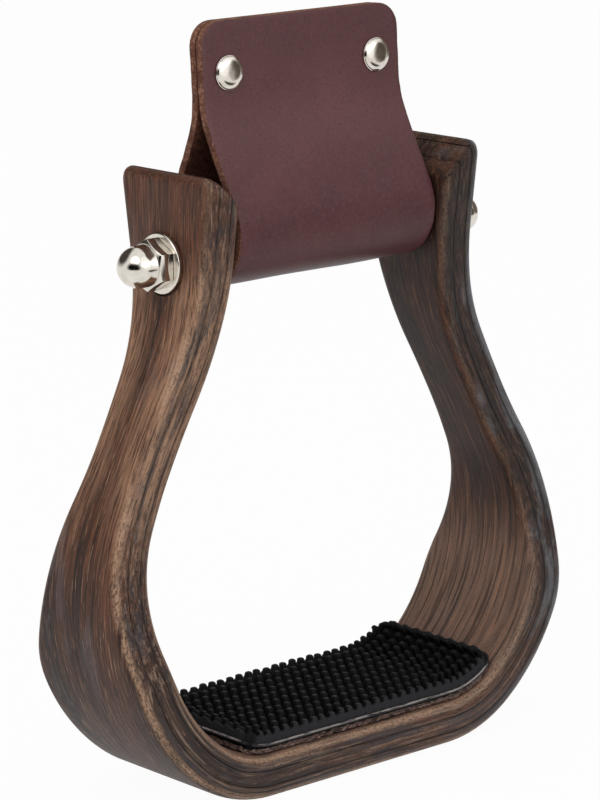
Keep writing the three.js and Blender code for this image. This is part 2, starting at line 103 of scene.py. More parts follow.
def colour(code):
    """An sRGB hex colour as linear red, green, blue and alpha."""
    shown = [int(code[start:start + 2], 16) / 255 for start in (1, 3, 5)]
    linear = [part / 12.92 if part <= 0.04045 else ((part + 0.055) / 1.055) ** 2.4 for part in shown]
    return linear + [1]


def add(tree, kind, inputs=None, out=0, stops=None, **settings):
    """Adds a node with its settings and inputs, and gives back one of its outputs."""
    node = tree.nodes.new(kind)
    for name, value in settings.items():
        setattr(node, name, value)
    for key, value in (inputs or {}).items():
        if isinstance(value, bpy.types.NodeSocket):
            tree.links.new(value, node.inputs[key])
        else:
            node.inputs[key].default_value = value
    for index, (place, shade) in enumerate(stops or []):
        spots = node.color_ramp.elements
        spot = spots[index] if index < 2 else spots.new(place)
        spot.position = place
        spot.color = colour(shade)
    return node.outputs[out] if len(node.outputs) else node


def new_material(name):
    """An empty material, and the tree that its nodes go in."""
    material = bpy.data.materials.new(name)
    material.use_nodes = True
    material.node_tree.nodes.clear()
    return material, material.node_tree


# %% [markdown]
# The photograph is a catalogue shot: soft light all round, a little more from the front and
# the upper left, and a white ground. A pale world gives the soft part, and two big lamps the
# rest. Camera, glossy and transmission rays see plain white, so that the nickel has something
# bright to mirror. The floor is nearly white in the picture but still takes a faint shadow.
# A mirror needs something dark too: felt cards stand left, behind, right, to the front right
# and low in front, where a photographer would put them, and a bright one stands above the
# front. Only mirrors see them.

# %% Floor and light
AMBIENT = 0.62
FLOOR_SHARE = 0.96
KEY_WATTS = 4.4
FILL_WATTS = 2.2
SOFT_EDGE = 0.45
# Each card: its name, colour, width and height, place, target, and glow if it has one
CARDS = (
    ("left_card", "#141312", (2.3, 1.3), (-1.13, -0.6, 0.3), (0, 0, 0.15)),
    ("front_card", "#ffffff", (1.7, 0.8), (0.2, -1.2, 0.62), (0, 0, 0.1), 2.4),
    ("back_card", "#57524c", (3.2, 2.1), (-0.35, 1.1, 0.95), (0, 0, 0.5)),
    ("cap_card", "#6a625a", (0.62, 0.8), (0.77, -0.66, 0.26), (0.03, -0.02, 0.2)),
    ("right_card", "#857a70", (1.5, 1.1), (1.15, -0.1, 0.35), (0, 0, 0.15)),
    ("low_card", "#3a2f27", (0.42, 0.46), (0.3, -0.5, 0.002), (0.3, -0.5, -1)),
)


def seen_ray(tree):
    """1 for the rays that show the ground: straight from the camera, mirrored or refracted."""
    camera = add(tree, "ShaderNodeLightPath", out="Is Camera Ray")
    glossy = camera.node.outputs["Is Glossy Ray"]
    through = camera.node.outputs["Is Transmission Ray"]
    seen = add(tree, "ShaderNodeMath", {0: camera, 1: glossy}, operation="MAXIMUM")
    return add(tree, "ShaderNodeMath", {0: seen, 1: through}, operation="MAXIMUM")


def light_world():
    """A pale world that lights the piece softly, and shows plain white."""
    world = bpy.data.worlds.new("studio")
    bpy.context.scene.world = world
    world.use_nodes = True
    tree = world.node_tree
    tree.nodes.clear()
    dim = add(tree, "ShaderNodeBackground", {"Color": (1, 1, 1, 1), "Strength": AMBIENT})
    white = add(tree, "ShaderNodeBackground", {"Color": (1, 1, 1, 1), "Strength": 1})
    both = add(tree, "ShaderNodeMixShader", {0: seen_ray(tree), 1: dim, 2: white})
    add(tree, "ShaderNodeOutputWorld", {"Surface": both})


def place_floor():
    """Paper that takes a faint shadow and otherwise shows white."""
    bpy.ops.mesh.primitive_plane_add(size=8)
    floor = bpy.context.object
    floor.name = "floor"
    material, tree = new_material("white seamless paper")
    paper = add(tree, "ShaderNodeBsdfDiffuse", {"Color": colour("#f4f4f4")})
    white = add(tree, "ShaderNodeEmission", {"Color": (1, 1, 1, 1), "Strength": 1})
    share = add(tree, "ShaderNodeMath", {0: seen_ray(tree), 1: FLOOR_SHARE}, operation="MULTIPLY")
    both = add(tree, "ShaderNodeMixShader", {0: share, 1: paper, 2: white})
    add(tree, "ShaderNodeOutputMaterial", {"Surface": both})
    floor.data.materials.append(material)


def facing(place, target):
    """The turn that points a lamp or a card from its place to its target."""
    return (Vector(place) - Vector(target)).to_track_quat("Z", "Y").to_euler()


def place_lamp(name, watts, size, place, target):
    """A round soft lamp at a place, turned towards a target."""
    data = bpy.data.lights.new(name, "AREA")
    data.energy = watts
    data.shape = "DISK"
    data.size = size
    lamp = bpy.data.objects.new(name, data)
    bpy.context.scene.collection.objects.link(lamp)
    lamp.location = place
    lamp.rotation_euler = facing(place, target)


def place_card(name, shade, size, place, target, glow=0):
    """An oval card with a soft edge, seen only in mirrors: dark felt, or bright where it glows."""
    bpy.ops.mesh.primitive_plane_add(size=1)
    card = bpy.context.object
    card.name = name
    card.scale = (*size, 1)
    card.location = place
    card.rotation_euler = facing(place, target)
    for ray in ("camera", "diffuse", "shadow", "transmission"):
        setattr(card, "visible_" + ray, False)
    material, tree = new_material(name + " felt")
    felt = add(tree, "ShaderNodeBsdfDiffuse", {"Color": colour(shade)})
    if glow:
        felt = add(tree, "ShaderNodeEmission", {"Color": colour(shade), "Strength": glow})
    clear = add(tree, "ShaderNodeBsdfTransparent")
    place_on_card = add(tree, "ShaderNodeTexCoord", out="Object")
    spread = add(tree, "ShaderNodeMapping", {"Vector": place_on_card, "Scale": (2, 2, 2)})
    from_edge = add(tree, "ShaderNodeTexGradient", {"Vector": spread}, gradient_type="SPHERICAL")
    density = add(tree, "ShaderNodeMapRange", {"Value": from_edge, "From Max": SOFT_EDGE})
    soft = add(tree, "ShaderNodeMixShader", {0: density, 1: clear, 2: felt})
    add(tree, "ShaderNodeOutputMaterial", {"Surface": soft})
    card.data.materials.append(material)


light_world()
place_floor()
for card in CARDS:
    place_card(*card)
place_lamp("key", KEY_WATTS, 1.15, (-0.85, -0.5, 1.12), (0, 0, 0.1))
place_lamp("fill", FILL_WATTS, 1.8, (0.3, -1.2, 0.75), (0, 0, 0.1))
bpy.context.scene.view_settings.view_transform = "Standard"
print("a floor, two lamps and", len(CARDS), "cards")

# %% [markdown]
# Modelling works on one piece at a time, as by hand: deselect everything, pick faces, edges
# or corners by where they are, and run an operator on them. These helpers do the picking, the
# drawing out, the rounding of edges, the cutting and the smooth shading. The last ones hand a
# finished piece to its body, tell how far it reaches past its CAD box, and round a sheet's corner.

# %% Picking and finishing


def only(piece):
    """Selects one piece and nothing else."""
    bpy.ops.object.select_all(action="DESELECT")
    piece.select_set(True)
    bpy.context.view_layer.objects.active = piece


def edit(piece):
    """Opens a piece for work on its mesh."""
    only(piece)
    bpy.ops.object.mode_set(mode="EDIT")


def done():
    """Closes the piece that is open."""
    bpy.ops.object.mode_set(mode="OBJECT")


def middle(part):
    """The middle of a corner, an edge or a face."""
    if isinstance(part, bmesh.types.BMVert):
        return part.co
    return sum((v.co for v in part.verts), Vector()) / len(part.verts)


def pick(kind, test):
    """In an open piece, selects the verts, edges or faces that pass the test, and nothing else."""
    piece = bpy.context.edit_object
    bpy.context.tool_settings.mesh_select_mode = [kind == name for name in ("verts", "edges", "faces")]
    bpy.ops.mesh.select_all(action="DESELECT")
    shape = bmesh.from_edit_mesh(piece.data)
    count = 0
    for part in getattr(shape, kind):
        if test(part):
            part.select_set(True)
            count += 1
    bmesh.update_edit_mesh(piece.data)
    return count


def pick_all():
    """In an open piece, selects everything."""
    bpy.ops.mesh.select_all(action="SELECT")


def face_outwards():
    """In an open piece, turns every face to the outside."""
    pick_all()
    bpy.ops.mesh.normals_make_consistent(inside=False)


def draw_out(move):
    """In an open piece, extrudes what is selected by a move."""
    bpy.ops.mesh.extrude_region_move(TRANSFORM_OT_translate={"value": move})


def round_edges(test, offset, segments, clamp=False):
    """In an open piece, rounds the edges that pass the test, and gives back their number."""
    count = pick("edges", test)
    bpy.ops.mesh.bevel(offset=offset, segments=segments, affect="EDGES", clamp_overlap=clamp)
    return count


def apply_modifier(piece, kind, **settings):
    """Adds a modifier with its settings, and applies it at once."""
    only(piece)
    modifier = piece.modifiers.new(kind.lower(), kind)
    for name, value in settings.items():
        setattr(modifier, name, value)
    bpy.ops.object.modifier_apply(modifier=modifier.name)


def cut_away(piece, cutter, operation="DIFFERENCE"):
    """Cuts a piece with another one, or joins them, and throws the other one away."""
    apply_modifier(piece, "BOOLEAN", object=cutter, operation=operation, solver="EXACT")
    bpy.data.objects.remove(cutter)


def freeze(piece):
    """Puts a piece's place, turn and size into its mesh."""
    only(piece)
    bpy.ops.object.transform_apply(location=True, rotation=True, scale=True)


def smooth(piece, degrees=30):
    """Shades a piece smooth, apart from its edges that are sharper than this."""
    only(piece)
    bpy.ops.object.shade_smooth_by_angle(angle=math.radians(degrees))


def hand_over(piece, body, slot, *nodes):
    """Rides a finished piece on its body, in place of its CAD nodes."""
    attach(piece, body)
    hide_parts(*nodes)
    print(piece.name, len(piece.data.polygons), "faces on", body)


def tell_reach(piece, node):
    """Prints how far a piece reaches past its CAD box: at its low ends, then at its high ends."""
    reach = [
        outermost(point.co[axis] for point in piece.data.vertices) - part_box(node)[end][axis]
        for end, outermost in enumerate((min, max))
        for axis in range(3)
    ]
    print(piece.name, "past its CAD box in mm", [round(value / MM, 2) for value in reach])


def draw_round(x, y, half_x, half_y, radius, amount=1):
    """Draws a spot in a sheet's square corner patch inwards, so that the corner becomes round."""
    over_x = (abs(x) - (half_x - radius)) / radius
    over_y = (abs(y) - (half_y - radius)) / radius
    if over_x <= 0 or over_y <= 0:
        return x, y
    share = amount * (1 - max(over_x, over_y) / math.hypot(over_x, over_y))
    return x - math.copysign(over_x * share * radius, x), y - math.copysign(over_y * share * radius, y)


# %% [markdown]
# The real frame is three oak strips, steamed or wetted, glued face to face and clamped round
# a form, so the grain runs round the bend. It could be carved out of one block in the
# computer, but the grain would then run straight through. So the line of the bend is written
# down once, as straight stretches and arcs, and flat strips are wrapped onto it.

# %% The line of the bend
NECK_WIDTH = 76.2 * MM
OPENING_WIDTH = 140.8 * MM
PLY = 4.2 * MM
GLUE_LINE = 0.15 * MM
WOOD = 3 * PLY + 2 * GLUE_LINE
BEND_ABOVE_BOLT = 3.1 * MM
STRAIGHT_SLOPE = 37.4 * MM
SHOULDER_RADIUS = 49 * MM
SHOULDER_END = math.radians(53.2)
CORNER_RADIUS = 28 * MM
BOLT_HEIGHT = frame["joints"][0]["pos_m"][2]
TOP_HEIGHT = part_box("ply_outer")[1].z
OUTER_X = NECK_WIDTH / 2 + WOOD


def bend_stretches():
    """The bend as (length, turn) pairs, from the middle of the tread to the top of a leg."""
    shoulder_up = SHOULDER_RADIUS * math.sin(SHOULDER_END) + CORNER_RADIUS * (1 - math.sin(SHOULDER_END))
    rise = BOLT_HEIGHT - WOOD + BEND_ABOVE_BOLT - shoulder_up
    draw_in = (OPENING_WIDTH - NECK_WIDTH) / 2
    radii = (draw_in ** 2 + rise ** 2 - STRAIGHT_SLOPE ** 2) / (2 * draw_in)
    slope = math.atan2(rise, radii - draw_in) - math.atan2(STRAIGHT_SLOPE, radii)
    flat = OPENING_WIDTH / 2 - SHOULDER_RADIUS * (1 - math.cos(SHOULDER_END))
    flat -= CORNER_RADIUS * math.cos(SHOULDER_END)
    corner = math.pi / 2 - SHOULDER_END
    shoulder = SHOULDER_END + slope
    return [
        (flat, 0),
        (CORNER_RADIUS * corner, corner),
        (SHOULDER_RADIUS * shoulder, shoulder),
        (STRAIGHT_SLOPE, 0),
        ((radii - SHOULDER_RADIUS) * slope, -slope),
        (TOP_HEIGHT - BOLT_HEIGHT - BEND_ABOVE_BOLT, 0),
    ]


BEND = bend_stretches()
STRIP_HALF = sum(length for length, turn in BEND)


def wrap(point):
    """A point of a flat strip, with the inner face at height 0, in its place on the bend."""
    side = -1 if point.x < 0 else 1
    left = abs(point.x)
    x = heading = 0
    z = WOOD
    for index, (length, turn) in enumerate(BEND):
        part = left if index == len(BEND) - 1 else min(left, length)
        turned = turn * part / length
        if turned:
            radius = part / turned
            x += radius * (math.sin(heading + turned) - math.sin(heading))
            z += radius * (math.cos(heading) - math.cos(heading + turned))
        else:
            x += part * math.cos(heading)
            z += part * math.sin(heading)
        heading += turned
        left -= part
        if left <= 0:
            break
    x -= math.sin(heading) * point.z
    z += math.cos(heading) * point.z
    return Vector((side * x, point.y, z))


def unwrap(point):
    """The way back: where a point of the bent frame lies on its flat strip."""
    side = -1 if point.x < 0 else 1
    spot = Vector((abs(point.x), point.z))
    start = Vector((0, WOOD))
    heading = reached = 0
    for index, (length, turn) in enumerate(BEND):
        along = Vector((math.cos(heading), math.sin(heading)))
        inward = Vector((-along.y, along.x))
        if turn:
            radius = length / turn
            centre = start + inward * radius
            way = math.copysign(1, radius)
            spoke = (spot - centre) * way
            part = math.atan2(spoke.dot(along) * way, -spoke.dot(inward)) * abs(radius)
            height = radius - spoke.length * way
        else:
            part = (spot - start).dot(along)
            height = (spot - start).dot(inward)
        if part <= length or index == len(BEND) - 1:
            return Vector((side * (reached + part), point.y, height))
        reached += length
        if turn:
            start = centre + Matrix.Rotation(turn, 2) @ (start - centre)
        else:
            start = start + along * length
        heading += turn


TEST = Vector((150 * MM, 0, -5 * MM))
print("strip is", round(2 * STRIP_HALF / MM, 1), "mm long; wrap test", (unwrap(wrap(TEST)) - TEST).length)

# %% [markdown]
# Seen from the front the strips are widest at the tread and pinched at the waist of each leg.
# The outline is two arcs that meet, and above the waist a slow flare into the leg top.

# %% Width along the strip
TREAD_DEPTH = 48.8 * MM
WAIST_DEPTH = 22.6 * MM
WAIST_FLARE_RADIUS = 128 * MM
TREAD_SHOULDER_RADIUS = 29.5 * MM
UPPER_FLARE_RADIUS = 300 * MM
UPPER_FLARE = math.radians(8)
WAIST_AT = sum(length for length, turn in BEND[:3]) + STRAIGHT_SLOPE / 2
FLARE_RADII = WAIST_FLARE_RADIUS + TREAD_SHOULDER_RADIUS
FLARE_TURN = math.acos(1 - (TREAD_DEPTH - WAIST_DEPTH) / 2 / FLARE_RADII)
FLARE_LENGTH = FLARE_RADII * math.sin(FLARE_TURN)


def half_depth(along):
    """Half the strip's width at a distance from the middle of the tread."""
    above = abs(along) - WAIST_AT
    if above > 0:
        curved = UPPER_FLARE_RADIUS * math.sin(UPPER_FLARE)
        arc = min(above, curved)
        hollow = UPPER_FLARE_RADIUS - math.sqrt(UPPER_FLARE_RADIUS ** 2 - arc ** 2)
        return WAIST_DEPTH / 2 + hollow + (above - arc) * math.tan(UPPER_FLARE)
    if -above < WAIST_FLARE_RADIUS * math.sin(FLARE_TURN):
        return WAIST_DEPTH / 2 + WAIST_FLARE_RADIUS - math.sqrt(WAIST_FLARE_RADIUS ** 2 - above ** 2)
    if -above < FLARE_LENGTH:
        rest = FLARE_LENGTH + above
        return TREAD_DEPTH / 2 - TREAD_SHOULDER_RADIUS + math.sqrt(TREAD_SHOULDER_RADIUS ** 2 - rest ** 2)
    return TREAD_DEPTH / 2


print("waist", round(2 * half_depth(WAIST_AT) / MM, 1), "mm, top", round(2 * half_depth(STRIP_HALF) / MM, 1))

# %% [markdown]
# Each strip starts as a plain box. Its long edges are rounded first, while they are straight:
# the two faces on the outside of the stack get the big rounding, and where two strips meet, a
# hair of a bevel shows the glue line. Then the box is cut into short lengths so that it can
# bend, its width is drawn in, its tops are sawn on a slant, and the sawn edges are eased.
# A joiner would do the same in nearly the same order.

# %% Flat strips
BEVEL_DROP = 9.5 * MM
BEVEL_OUTER_SET = 3 * MM
TOP_CORNER_RADIUS = 4.5 * MM
EDGE_RADIUS = 3.8 * MM
GLUE_EDGE = 0.12 * MM
EASED_EDGE = 0.7 * MM
TOP_FACETS = (12, 27, 42, 57, 72, 84)
CORNER_CUTS = (0, 15, 30, 45, 60, 75)
TOUCH = 0.01 * MM


def outline(along):
    """Half the strip's width, with the rounded corners of its two tops."""
    past = abs(along) - (STRIP_HALF - TOP_CORNER_RADIUS)
    if past <= 0:
        return half_depth(along)
    past = min(past, TOP_CORNER_RADIUS)
    return half_depth(along) - TOP_CORNER_RADIUS + math.sqrt(TOP_CORNER_RADIUS ** 2 - past ** 2)


def is_long(part):
    """Whether an edge runs along the strip."""
    span = part.verts[1].co - part.verts[0].co
    return abs(span.x) > max(abs(span.y), abs(span.z))


def saw(place, normal, clear=True):
    """Saws through the whole of an open piece, and clears what is beyond or leaves it."""
    pick_all()
    bpy.ops.mesh.bisect(plane_co=place, plane_no=normal, use_fill=clear, clear_outer=clear, threshold=1e-7)


def saw_tops(round_outer):
    """Saws both tops of a strip on a slant, and rounds the outer strip's own top edge."""
    for side in (-1, 1):
        saw((side * (STRIP_HALF - BEVEL_DROP), 0, 0), (side * (WOOD - BEVEL_OUTER_SET), 0, BEVEL_DROP))
        for degrees in TOP_FACETS if round_outer else ():
            way = Vector((side * math.cos(math.radians(degrees)), 0, -math.sin(math.radians(degrees))))
            centre = Vector((side * (STRIP_HALF - BEVEL_OUTER_SET), 0, BEVEL_OUTER_SET - WOOD))
            saw(centre + way * BEVEL_OUTER_SET, way)


def flat_strip(name, low, high, inner_radius, outer_radius):
    """One lamination; low and high are its faces' depths below the frame's inner face."""
    bpy.ops.mesh.primitive_cube_add(size=1, location=(0, 0, -(low + high) / 2))
    piece = bpy.context.object
    piece.name = name
    piece.scale = (2 * STRIP_HALF, TREAD_DEPTH, high - low)
    freeze(piece)
    edit(piece)
    for height, radius in ((-low, inner_radius), (-high, outer_radius)):
        round_edges(lambda part: is_long(part) and abs(middle(part).z - height) < TOUCH,
                    radius, 8 if radius > MM else 2)
    for _ in range(2):
        pick("edges", is_long)
        bpy.ops.mesh.subdivide(number_cuts=15)
    for degrees in CORNER_CUTS:
        for side in (-1, 1):
            past = TOP_CORNER_RADIUS * (1 - math.sin(math.radians(degrees)))
            saw((side * (STRIP_HALF - past), 0, 0), (1, 0, 0), clear=False)
    shape = bmesh.from_edit_mesh(piece.data)
    for point in shape.verts:
        drawn_in = TREAD_DEPTH / 2 - outline(point.co.x)
        point.co.y -= math.copysign(drawn_in, point.co.y)
    bmesh.update_edit_mesh(piece.data)
    saw_tops(high > 2.5 * PLY)
    near_top = STRIP_HALF - BEVEL_DROP - MM
    round_edges(lambda part: abs(middle(part).x) > near_top and part.calc_face_angle(0) > 0.6
                and (not is_long(part) or abs(part.verts[0].co.z - part.verts[1].co.z) > TOUCH),
                EASED_EDGE, 3)
    done()
    # Sand off what the easing left proud of the outline
    for point in piece.data.vertices:
        limit = outline(point.co.x)
        point.co.y = max(-limit, min(limit, point.co.y))
    return piece


def ply(name, index):
    """One of the three laminations, counted from the opening outwards."""
    low = index * (PLY + GLUE_LINE)
    radii = [EDGE_RADIUS if index == face else GLUE_EDGE for face in (0, 2)]
    return flat_strip(name, low, low + PLY, *radii)


plies = [ply(name, index) for index, name in enumerate(("ply_one", "ply_two", "ply_three"))]

# %% [markdown]
# Now the strips are wrapped onto the bend, and the bolt's hole and the two flat seats for the
# washers are bored through them. Last, each corner of the mesh keeps a note of where it lies
# on the flat strip. The grain is painted in those numbers, so it follows the bend.

# %% Bend, bore and mark the strips
ROD_DIAMETER = 7.94 * MM
ROD_HOLE = ROD_DIAMETER + 0.7 * MM
WASHER_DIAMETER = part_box("washer_left")[1].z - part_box("washer_left")[0].z
SEAT_DIAMETER = WASHER_DIAMETER + 1.2 * MM
SEAT_REACH = 30 * MM


def drill(piece, diameter, start, end):
    """Bores a piece along the bolt's axis, from one distance from the middle to another."""
    bpy.ops.mesh.primitive_cylinder_add(
        vertices=64, radius=diameter / 2, depth=abs(end - start),
        location=((start + end) / 2, 0, BOLT_HEIGHT), rotation=(0, math.pi / 2, 0))
    cut_away(piece, bpy.context.object)


def bend_and_bore(piece):
    """Wraps a strip onto the bend, bores the bolt's hole and cuts the washers' seats."""
    for point in piece.data.vertices:
        point.co = wrap(point.co)
    drill(piece, ROD_HOLE, -2 * OUTER_X, 2 * OUTER_X)
    for side in (-1, 1):
        drill(piece, SEAT_DIAMETER, side * OUTER_X, side * (OUTER_X + SEAT_REACH))


def mark(piece, places, name, values):
    """Notes each corner's place on the flat strip, and one more value of its own."""
    flat = piece.data.attributes.new("strip", "FLOAT_VECTOR", "POINT")
    flat.data.foreach_set("vector", [value for place in places for value in place])
    piece.data.attributes.new(name, "FLOAT", "POINT").data.foreach_set("value", values)


for piece in plies:
    bend_and_bore(piece)
    places = [unwrap(point.co) for point in piece.data.vertices]
    mark(piece, places, "half", [outline(place.x) for place in places])
    smooth(piece, 28)
    print(piece.name, len(piece.data.polygons), "faces")

# %% [markdown]
# The wood is oak, dip-stained dark and rubbed back: open pores in long dark dashes, a few
# pale fibres, growth rings, slow bands of tone, bluish grey clouds where the stain sat, and
# bare wood where boots have worn the rounded edges. Each is a noise drawn out along the strip,
# and its grain sizes are in millimetres along, across and into the strip. A layer is one coat:
# it lays a tint over what is there, wherever a pattern runs from a low to a high value.

# %% Grain and layers


def grain(tree, place, size, detail=3, roughness=0.55, offset=0):
    """Noise whose lumps have this size in millimetres along, across and into the strip."""
    scale = tuple(1 / (length * MM) for length in size)
    moved = add(tree, "ShaderNodeMapping", {
        "Vector": place, "Location": (offset, offset, offset), "Scale": scale})
    return add(tree, "ShaderNodeTexNoise", {
        "Vector": moved, "Scale": 1, "Detail": detail, "Roughness": roughness})


def layer(tree, base, pattern, low, high, share, tint, where=None, mode="MIX"):
    """Lays a tint over the base, by a share, where the pattern nears high and where it is asked for."""
    amount = add(tree, "ShaderNodeMapRange", {
        "Value": pattern, "From Min": low, "From Max": high, "To Max": share},
        interpolation_type="SMOOTHSTEP")
    if where is not None:
        amount = add(tree, "ShaderNodeMath", {0: amount, 1: where}, operation="MULTIPLY")
    return add(tree, "ShaderNodeMix", {0: amount, 6: base, 7: colour(tint)},
               out=2, data_type="RGBA", blend_type=mode)


def finish(tree, base, rough, height, depth, strength, fixed):
    """The Principled shader over a base colour, a roughness, and relief of a depth in millimetres."""
    bump = add(tree, "ShaderNodeBump", {"Height": height, "Strength": strength, "Distance": depth * MM})
    inputs = {"Base Color": base, "Roughness": rough, "Normal": bump}
    shader = add(tree, "ShaderNodeBsdfPrincipled", {**inputs, **fixed})
    add(tree, "ShaderNodeOutputMaterial", {"Surface": shader})


# %% [markdown]
# Where a coat goes is worked out from the flat strip too: how near a point is to the sawn
# side, to the stack's inner or outer face, and so to the rounded edge between the two, and
# how far it is up the left or the right leg. Each such place is a mask from 0 to 1.

# %% Places on the wood


def stack_places(tree):
    """Masks from 0 to 1 over the bent stack, each worked out from the flat strip."""
    strip = add(tree, "ShaderNodeAttribute", out="Vector", attribute_name="strip")
    half = add(tree, "ShaderNodeAttribute", out="Fac", attribute_name="half")
    along = add(tree, "ShaderNodeSeparateXYZ", {"Vector": strip})
    across = along.node.outputs["Y"]
    height = along.node.outputs["Z"]
    off_middle = add(tree, "ShaderNodeMath", {0: across}, operation="ABSOLUTE")
    from_side = add(tree, "ShaderNodeMath", {0: half, 1: off_middle}, operation="SUBTRACT")
    below = add(tree, "ShaderNodeMath", {0: height, 1: -1}, operation="MULTIPLY")
    above = add(tree, "ShaderNodeMath", {0: height, 1: WOOD}, operation="ADD")
    from_face = add(tree, "ShaderNodeMath", {0: below, 1: above}, operation="MINIMUM")
    from_glue = add(tree, "ShaderNodeMath", {0: above, 1: (PLY + GLUE_LINE) / 2}, operation="PINGPONG")
    masks = {"strip": strip, "along": along, "across": across, "height": height, "from_glue": from_glue}
    for name, value, low, high in (
            ("side", from_side, 1.5, 0.3), ("near_side", from_side, 3.2, 0.9),
            ("side_edge", from_side, 4, 1), ("side_band", from_side, 15, 3),
            ("inner", height, -3, -0.5), ("near_face", from_face, 2.6, 0.9), ("outer_edge", above, 4.5, 1.5),
            ("right", along, 20, 90), ("upper_right", along, 78, 118), ("below_top", along, 185, 165),
            ("upper_left", along, -100, -140), ("top_left", along, -185, -208)):
        masks[name] = add(tree, "ShaderNodeMapRange", {
            "Value": value, "From Min": low * MM, "From Max": high * MM}, interpolation_type="SMOOTHSTEP")
    # Places where one mask meets others, or leaves them out
    for name, start, others in (
            ("left_band", "side_band", (("MULTIPLY", "upper_left"), ("SUBTRACT", "top_left"))),
            ("left_side", "side", (("MULTIPLY", "upper_left"), ("SUBTRACT", "top_left"))),
            ("right_side", "side", (("MULTIPLY", "right"), ("MULTIPLY", "below_top"))),
            ("right_edge", "outer_edge", (("MULTIPLY", "side_edge"), ("MULTIPLY", "right"))),
            ("mid_side", "side", (("SUBTRACT", "near_face"),)),
            ("round_edge", "near_side", (("MULTIPLY", "near_face"),))):
        masks[name] = masks[start]
        for operation, other in others:
            masks[name] = add(tree, "ShaderNodeMath", {0: masks[name], 1: masks[other]},
                              operation=operation, use_clamp=True)
    return masks


# %% [markdown]
# The patterns and the coats stand in two tables, like a finisher's recipe. To try another
# wood, change the sizes, the numbers and the tints here.

# %% The wood's recipe
# Each pattern: whether it lies on the plain strip or follows the wandering grain, the size of
# its lumps in millimetres, its detail, its roughness and its offset
OAK_PATTERNS = {
    "streaks": ("wandering", (15, 0.7, 0.65), 5, 0.76),
    "bands": ("wandering", (90, 8, 4), 3, 0.55, 5),
    "vessels": ("wandering", (42, 1.1, 1.1), 2, 0.5, 77),
    "pores": ("wandering", (11, 0.5, 0.5), 2, 0.6, 9),
    "fibres": ("wandering", (7, 0.42, 0.42), 2, 0.6, 21),
    "threads": ("wandering", (30, 1.6, 1.6), 4, 0.7, 18),
    "clouds": ("strip", (30, 12, 9), 4, 0.65, 33),
    "grit": ("strip", (0.9, 0.5, 0.5), 3, 0.7, 52),
    "lines": ("strip", (26, 0.8, 0.8), 4, 0.7, 88),
    "cold": ("strip", (30, 3, 2.2), 4, 0.6, 95),
    "specks": ("strip", (1.5, 0.7, 0.7), 3, 0.7, 61),
    "bloom_and_sheen": ("strip", (22, 3, 3), 4, 0.65, 12),
    "patches": ("strip", (30, 4, 4), 3, 0.6, 47),
}
# Each coat, from the first to the last: its pattern, the two values it runs between, its share
# at the second value, its tint, and then where it goes and how it mixes, if that needs saying
OAK_COATS = (
    # Growth rings: thin dark lines some three millimetres apart
    ("rings", 0.32, 0.03, 0.7, "#1d120c", "in_bands"),
    # Long dark vessel lines, and the open pores as short dark dashes
    ("vessels", 0.58, 0.65, 0.4, "#1d130e"),
    ("pores", 0.585, 0.65, 0.75, "#1b110c"),
    # Pale fibres
    ("fibres", 0.61, 0.7, 0.6, "#b28c70"),
    # Bluish grey clouds where the stain sat
    ("clouds", 0.55, 0.68, 0.4, "#5b585c"),
    # Painted light: the inner face is painted lighter, as if lit from the left, but not high up the right
    # leg, where it is darker
    ("upper_right", 1, 0, 0.45, "#a48370", "inner"),
    ("upper_right", 0, 1, 0.95, "#b9a295", "inner", "MULTIPLY"),
    # Pale threads of grain, most where the inner face is painted lit
    ("threads", 0.52, 0.68, 0.5, "#a87a5e", "painted_lit_inner"),
    ("threads", 0.48, 0.34, 0.6, "#2f2421", "inner"),
    ("vessels", 0.53, 0.6, 0.6, "#251a15", "inner"),
    ("grit", 0.5, 0.66, 0.3, "#241912"),
    # The left leg's outer face was worn back in streaks, most of all towards its edges
    ("streaks", 0.34, 0.62, 0.75, "#b38a6d", "left_band"),
    ("top_left", 0, 1, 0.45, "#6c4431"),
    ("streaks", 0.54, 0.36, 0.7, "#2b1a13", "top_left"),
    # The sawn sides took the stain in dark specks, and the right leg's side is painted darker as shade
    ("lines", 0.5, 0.66, 0.6, "#a08672", "side"),
    ("streaks", 0.3, 0.6, 0.5, "#a98469", "left_side"),
    ("cold", 0.48, 0.62, 0.6, "#3f3d41", "side"),
    ("lines", 0.5, 0.36, 0.65, "#2c2523", "side"),
    # Painted shade: the right leg's sawn side darker
    ("side", 0, 1, 0.85, "#968a86", "right", "MULTIPLY"),
    ("clouds", 0.42, 0.58, 0.65, "#6c6d71", "right_side"),
    ("specks", 0.52, 0.66, 0.55, "#21160f", "side"),
    # Stain gathered in a dark line along each glue line
    ("from_glue", 1.05 * MM, 0.2 * MM, 0.45, "#231a16", "mid_side"),
    # Painted highlight: a bluish sheen along the outer edge of the right leg
    ("bloom_and_sheen", 0.4, 0.58, 0.5, "#858a91", "right_edge"),
    # Warm bare wood, rubbed through along the rounded edges of the left leg, in patches and grit
    ("grit", 0.72, 0.34, 0.85, "#bd9a7e", "worn_edge"),
)
print(len(OAK_PATTERNS), "patterns and", len(OAK_COATS), "coats")

# %% [markdown]
# The recipe is followed in order. First come the patterns, next the streaks in their slow
# tones, then the coats, and last the relief: pores sink in, and the streaks ripple.

# %% Stained oak


